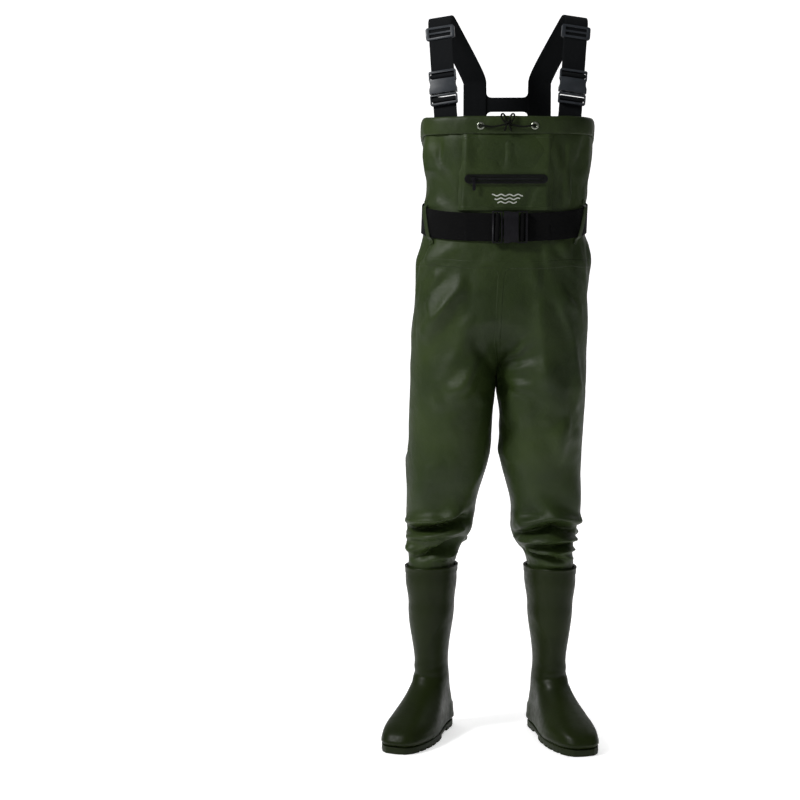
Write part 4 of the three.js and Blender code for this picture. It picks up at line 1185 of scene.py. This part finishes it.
STRAIGHT_TO = 176.4
for word, side in SIDES.items():
    place = strap_frame(side)
    across = (place.to_3x3() @ Vector((1, 0, 0))).normalized()
    name = f"{word}_strap"
    drop = 62
    lower = [(WEB_Y + math.sin(math.radians(13.3)) * drop, -23 - math.cos(math.radians(13.3)) * drop),
             (WEB_Y + 3, -38), (WEB_Y + 0.2, -22), (WEB_Y, -8), (WEB_Y, 4)] + BAR_LOOP
    web(f"{name}_lower_webbing", strap_path(place, lower, 0.003), across, STRAP, [f"{name}_lower_web"])

    top = [(y, 74 - z) for y, z in reversed(BAR_LOOP)]
    upper = top + [(WEB_Y, z) for z in (66, 80, 110, 140, 160, STRAIGHT_TO)]
    for degrees in (25, 50, 75, 95):
        angle = math.radians(degrees)
        upper.append((WEB_Y + 24 * (1 - math.cos(angle)), STRAIGHT_TO + 24 * math.sin(angle)))
    pulled = [place @ Vector((0, WEB_Y / 1000, z)) for z in (0.079, 0.168)]
    web(f"{name}_elastic_webbing", strap_path(place, upper, 0.003), across, STRAP,
        [f"{name}_elastic_web"], body=(f"{name}_female_half", "root", *pulled))

    last, before = (place @ Vector((0, y / 1000, z / 1000)) for y, z in (upper[-1], upper[-2]))
    onward = (last - before).normalized()
    back_x, back_y = BIB_MIDDLE + side * 0.070, 0.1435
    start = last + onward * 0.0012
    past = last + onward * 0.014
    route = [start, past, Vector((mix(start.x, back_x, 0.45), mix(start.y, back_y, 0.62), 1.482)),
             Vector((back_x + side * 0.004, back_y - 0.005, 1.417))]
    route += [Vector((back_x, back_y, z)) for z in (1.395, 1.360, 1.290, 1.206)]

    def back_across(share, across=across):
        return across.lerp(Vector((1, 0, 0)), smooth(share, 0.0, 0.55))
    web(f"{name}_back_webbing", spline(route, 0.006), back_across, STRAP, [f"{name}_back_web"])

# %% [markdown]
# The crossbar is a piece of narrower webbing that flares where it is sewn to the
# straps. It follows the frame's outline, so it is the frame's mesh with its edges
# rounded, and a UV map laid on it so that the ribs run sideways.

# %% Lay webbing on the crossbar


def lay_uv(made, across, along):
    """Maps a piece flat: u measures along one axis and v along the other, in metres."""
    uv = made.data.uv_layers.get("UVMap") or made.data.uv_layers.new(name="UVMap")
    for loop in made.data.loops:
        place = made.data.vertices[loop.vertex_index].co
        uv.data[loop.index].uv = (place[across], place[along])


crossbar = moulding("back_crossbar", "root", strap_web, 0.0006)
lay_uv(crossbar, 2, 0)

# %% [markdown]
# ## Waist belt
# The belt is 58 mm webbing that rides a little lower in front than behind. It runs
# under three loops of the bib's own cloth, and its two free ends wrap the ladder bars
# of a black side-release buckle.

# %% Thread the belt
BELT = web_section(0.058, WEB_THICKNESS)
BELT_OFFSET = 0.00395
BUCKLE_X = lean(BELT_MIDDLE) + 0.011
BUCKLE_Y = TORSO_Y - 0.112 - BELT_OFFSET - WEB_Y / 1000


def belt_place(angle):
    ripple = noise.noise(Vector((angle * 5, 0, 3))) * 0.0007
    return torso_point(angle, belt_z(angle), BELT_OFFSET + max(ripple, -0.0002))


def belt_round(start, end, step=0.03):
    count = max(3, round(abs(end - start) / step))
    return [belt_place(mix(start, end, k / count)) for k in range(count + 1)]


def belt_bar(points):
    height = BELT_MIDDLE - BELT_BOW
    return [Vector((BUCKLE_X - 0.037 + z / 1000, BUCKLE_Y + y / 1000, height)) for y, z in points]


leaning = Vector((LEAN, 0, 1))
left_route = belt_bar([(y, 74 - z) for y, z in reversed(BAR_LOOP)] + [(WEB_Y, 66), (WEB_Y, 77)])
left_route += belt_round(-math.pi / 2 + 0.40, -0.42)
right_route = belt_bar(list(reversed([(y, z) for y, z in BAR_LOOP])) + [(WEB_Y, 8), (WEB_Y, -3)])
right_route += belt_round(-math.pi / 2 - 0.30, -math.pi + 0.42)
back_route = belt_round(-0.408, math.pi + 0.408)
web("belt_left_webbing", spline(left_route, 0.004), leaning, BELT, ["belt_web_left"], belt_web)
bar = Vector((BUCKLE_X - 0.037, BUCKLE_Y, BELT_MIDDLE - BELT_BOW))
web("belt_right_webbing", spline(right_route, 0.004), leaning, BELT, ["belt_web_right"], belt_web,
    ("belt_male_half", "root", bar - Vector((0.006, 0, 0)), bar - Vector((0.095, 0, 0))))
web("belt_back_webbing", spline(back_route, 0.006), leaning, BELT, ["belt_web_back"], belt_web)


def belt_loop(name, angle, slant, node):
    """A strip of the bib's cloth that stands over the belt."""
    rise, over, low = 29.0, 7.37, 1.95
    stops = [(-17, low), (-12, low), (-7, low + 0.3), (-2.8, over - 0.9), (1, over), (14, over + 0.5)]
    below = [(-rise + dz, offset) for dz, offset in stops]
    above = [(rise - dz, offset) for dz, offset in reversed(stops)]
    route = []
    for dz, offset in below + above:
        at = angle + slant * dz / rise
        route.append(torso_point(at, belt_z(angle) + dz / 1000, offset / 1000))
    middle, beside = (torso_point(at, belt_z(angle), 0.007) for at in (angle, angle + 0.02))
    around = (beside - middle).normalized()
    made = sweep(name, spline(route, 0.003), around, web_section(0.013, 0.0012, 6))
    finish_piece(made, "root", nylon_tape, [node], angle=50)


belt_loop("right_belt_loop_strip", -math.pi + 0.48, -0.09, "right_belt_loop")
belt_loop("left_belt_loop_strip", -0.48, 0.09, "left_belt_loop")
belt_loop("back_belt_loop_strip", math.pi / 2, 0.0, "back_belt_loop")

# %% [markdown]
# ## Boots
# The boots are moulded in one shot over a last: a round shaft, a narrow ankle, a
# swelling heel and a broad toe. They could be polished smooth, but soft PVC always
# shows where it bends, so the ankle has a few shallow creases, and the mould leaves
# a rolled rim, a welt above the sole and a low step over the heel.

# %% Mould the boots
SOLE, LOW = 0.014, 0.0144


SHAFT = [(0.150, (0.034, 0.051)), (0.280, (0.047, 0.066)), (TUCK, (0.053, 0.073))]


def foot_share(z):
    return 1 - smooth(z, 0.036, 0.132)


def boot_outline(z, angle, inset=0.0):
    """A point of the boot's outline at a height. The toe points to -Y."""
    shaft = between(SHAFT, z)
    share = foot_share(z)
    toe = mix(shaft[1], 0.222, share * (1 - 0.32 * smooth(z, 0.020, 0.090)))
    heel = mix(shaft[1], 0.072, share)
    width = mix(shaft[0], 0.056 - 0.004 * smooth(z, 0.020, 0.090), share)
    power = mix(1.0, 2 / 3.2, share)
    s = math.copysign(abs(math.sin(angle)) ** power, math.sin(angle))
    c = math.copysign(abs(math.cos(angle)) ** power, math.cos(angle))
    reach = toe if s < 0 else heel
    narrow = 1 - 0.36 * share * smooth(s, -0.6, 0.1)
    return Vector(((width * narrow - inset) * c, (reach - inset) * s, z))


def boot_relief(x, y, z, side):
    """How far the moulding stands out from its plain outline, in metres."""
    relief = 0.0014 * (1 - smooth(z, 0.026, 0.031))
    relief += smooth(y, 0.020, 0.040) * 0.0024 * (1 - smooth(z, 0.050, 0.058))
    relief += smooth(-y, 0.120, 0.132) * 0.0012 * (1 - smooth(z, 0.052, 0.057))
    front = smooth(-y, 0.005, 0.035)
    for height, slope, depth in ((0.126, 0.14, 0.0014), (0.141, -0.12, 0.0011), (0.108, 0.10, 0.0010)):
        gap = z - height - slope * x * side
        relief -= front * depth * math.exp(-(gap / 0.0060) ** 2)
        relief += front * depth * 0.8 * math.exp(-((gap - 0.011) / 0.007) ** 2)
    # A soft pull runs down the inner calf to the front of the ankle.
    inward = -x * side
    pull = inward - mix(0.010, 0.040, smooth(z, 0.180, 0.270))
    relief += 0.0022 * math.exp(-(pull / 0.006) ** 2) * smooth(z, 0.170, 0.200) \
        * (1 - smooth(z, 0.250, 0.280)) * smooth(-y, 0.0, 0.02)
    # The ankle bones and the broad ripple of soft plastic.
    relief += 0.0020 * math.exp(-((z - 0.120) / 0.020) ** 2 - ((abs(x) - 0.030) / 0.014) ** 2)
    relief += noise.noise(Vector((x, y + side, z)) * 13) * 0.0016 * smooth(z, 0.060, 0.120)
    return relief


def boot_levels(low, high, count):
    return [mix(low, high, k / count) for k in range(count + 1)]


def boot_upper(word, side, count=72):
    """The boot's outside and inside, joined at the rim and at the sole."""
    rings = []
    outside = boot_levels(LOW, RIM - 0.002, 100)
    for z in outside:
        tuck_in = 0.005 * (1 - smooth(z, LOW, LOW + 0.006))
        shown = smooth(z, LOW + 0.003, LOW + 0.008) * (1 - smooth(z, RIM - 0.020, RIM - 0.015))
        ring = []
        for k in range(count):
            point = boot_outline(z, math.tau * k / count)
            out = Vector((point.x, point.y * 0.8, 0)).normalized()
            ring.append(point + out * (boot_relief(point.x, point.y, z, side) * shown - tuck_in))
        rings.append(ring)
    rings.append([boot_outline(RIM, math.tau * k / count, 0.0010) for k in range(count)])
    for z in reversed(boot_levels(LOW + 0.003, RIM - 0.001, 60)):
        floor_in = 0.006 * (1 - smooth(z, LOW + 0.003, LOW + 0.010))
        rings.append([boot_outline(z, math.tau * k / count, 0.0030 + floor_in) for k in range(count)])
    return rings


def closed_loft(name, rings):
    """Joins rings into a solid and caps its two ends with a fan."""
    mesh = bmesh.new()
    loops = [[mesh.verts.new(point) for point in ring] for ring in rings]
    count = len(rings[0])
    for lower, upper in zip(loops, loops[1:]):
        for k in range(count):
            n = (k + 1) % count
            mesh.faces.new((lower[k], lower[n], upper[n], upper[k]))
    for loop in (loops[0], loops[-1]):
        centre = mesh.verts.new(sum((vert.co for vert in loop), Vector()) / count)
        for k in range(count):
            mesh.faces.new((loop[k], loop[(k + 1) % count], centre))
    bmesh.ops.recalc_face_normals(mesh, faces=mesh.faces)
    return link_mesh(name, mesh)


for word, side in SIDES.items():
    stand = Matrix.Translation((side * BOOT_SPREAD, ANKLE_Y, 0))
    stand = stand @ Matrix.Rotation(side * BOOT_SPLAY, 4, "Z")
    upper = closed_loft(f"{word}_boot_shell", boot_upper(word, side))
    upper.data.transform(stand)
    finish_piece(upper, "root", boot_pvc, [f"{word}_boot_upper"], angle=60)

    sole = moulding(f"{word}_boot_outsole", "root", sole_pvc, 0.0009)

    bed = closed_loft(f"{word}_insole_pad", [
        [boot_outline(LOW, math.tau * k / 48, inset) + Vector((0, 0, z - LOW)) for k in range(48)]
        for inset, z in ((0.0135, 0.0180), (0.0122, 0.0186), (0.0120, 0.0208), (0.0135, 0.0216))])
    bed.data.transform(stand)
    finish_piece(bed, "root", felt, [f"{word}_boot_insole"], angle=60)

    band_rings = []
    for k in range(96):
        ring = []
        for offset, z in ((0.0008, 0.3512), (0.0011, 0.3508), (0.0013, 0.3530), (0.0014, 0.3570),
                          (0.0015, 0.3600), (0.0021, 0.3618), (0.0024, 0.3634), (0.0022, 0.3646),
                          (0.0015, 0.3652), (0.0008, 0.3648)):
            point = boot_outline(min(z, RIM), math.tau * k / 96, -offset)
            ring.append(Vector((point.x, point.y, z)))
        band_rings.append(ring)
    rim = ring_mesh(f"{word}_boot_rim", band_rings)
    rim.data.transform(stand)
    finish_piece(rim, "root", boot_pvc, [f"{word}_boot_top_band"], angle=60)
print("boots: rim at", RIM, "m, sole", SOLE, "m thick")

# %% [markdown]
# ## Floor and backdrop
# The floor and backdrop are plain and pale, and they aren't part of the object.

# %% Lay the floor and finish
paper, paper_tree, paper_shader, paper_place = start_material("Matt white paper", 0.9)
paper_shader.inputs["Base Color"].default_value = linear("#f4f4f4")
paper_shader.inputs["Emission Color"].default_value = (1.0, 1.0, 1.0, 1.0)
paper_shader.inputs["Emission Strength"].default_value = 0.45
grain = cloudy(paper_tree, paper_place.outputs["Object"], 0.004)
bump(paper_tree, paper_shader, grain, 0.00005)

backlight, backlight_tree, backlight_shader, backlight_place = start_material(
    "Backlit white acrylic", 0.6)
backlight_shader.inputs["Base Color"].default_value = linear("#f4f4f4")
backlight_shader.inputs["Emission Color"].default_value = (1.0, 1.0, 1.0, 1.0)
glow = cloudy(backlight_tree, backlight_place.outputs["Object"], 2.0)
glow = spread(backlight_tree, glow, 0.0, 1.0, 0.72, 0.78)
backlight_tree.links.new(glow, backlight_shader.inputs["Emission Strength"])


def plain_sheet(name, corners, material):
    mesh = bpy.data.meshes.new(name)
    mesh.from_pydata(corners, [], [(0, 1, 2, 3)])
    made = link_mesh(name, mesh)
    made.data.materials.append(material)
    return made


floor = plain_sheet("floor", [(-5, -3.2, 0), (5, -3.2, 0), (5, 3.2, 0), (-5, 3.2, 0)], paper)
backdrop = plain_sheet("backdrop", [(-5, 3.2, 0), (5, 3.2, 0), (5, 3.6, 4.5), (-5, 3.6, 4.5)],
                       backlight)
floor_lights = bpy.data.collections.new("lit_by_the_table_light")
floor_lights.objects.link(floor)
soft_light("table_light", (0.0, 0.4, 3.6), (0.0, 0.4, 0.0), 4.0, 78)
bpy.data.objects["table_light"].light_linking.receiver_collection = floor_lights
for sheet in (floor, backdrop):
    sheet.light_linking.receiver_collection = floor_lights
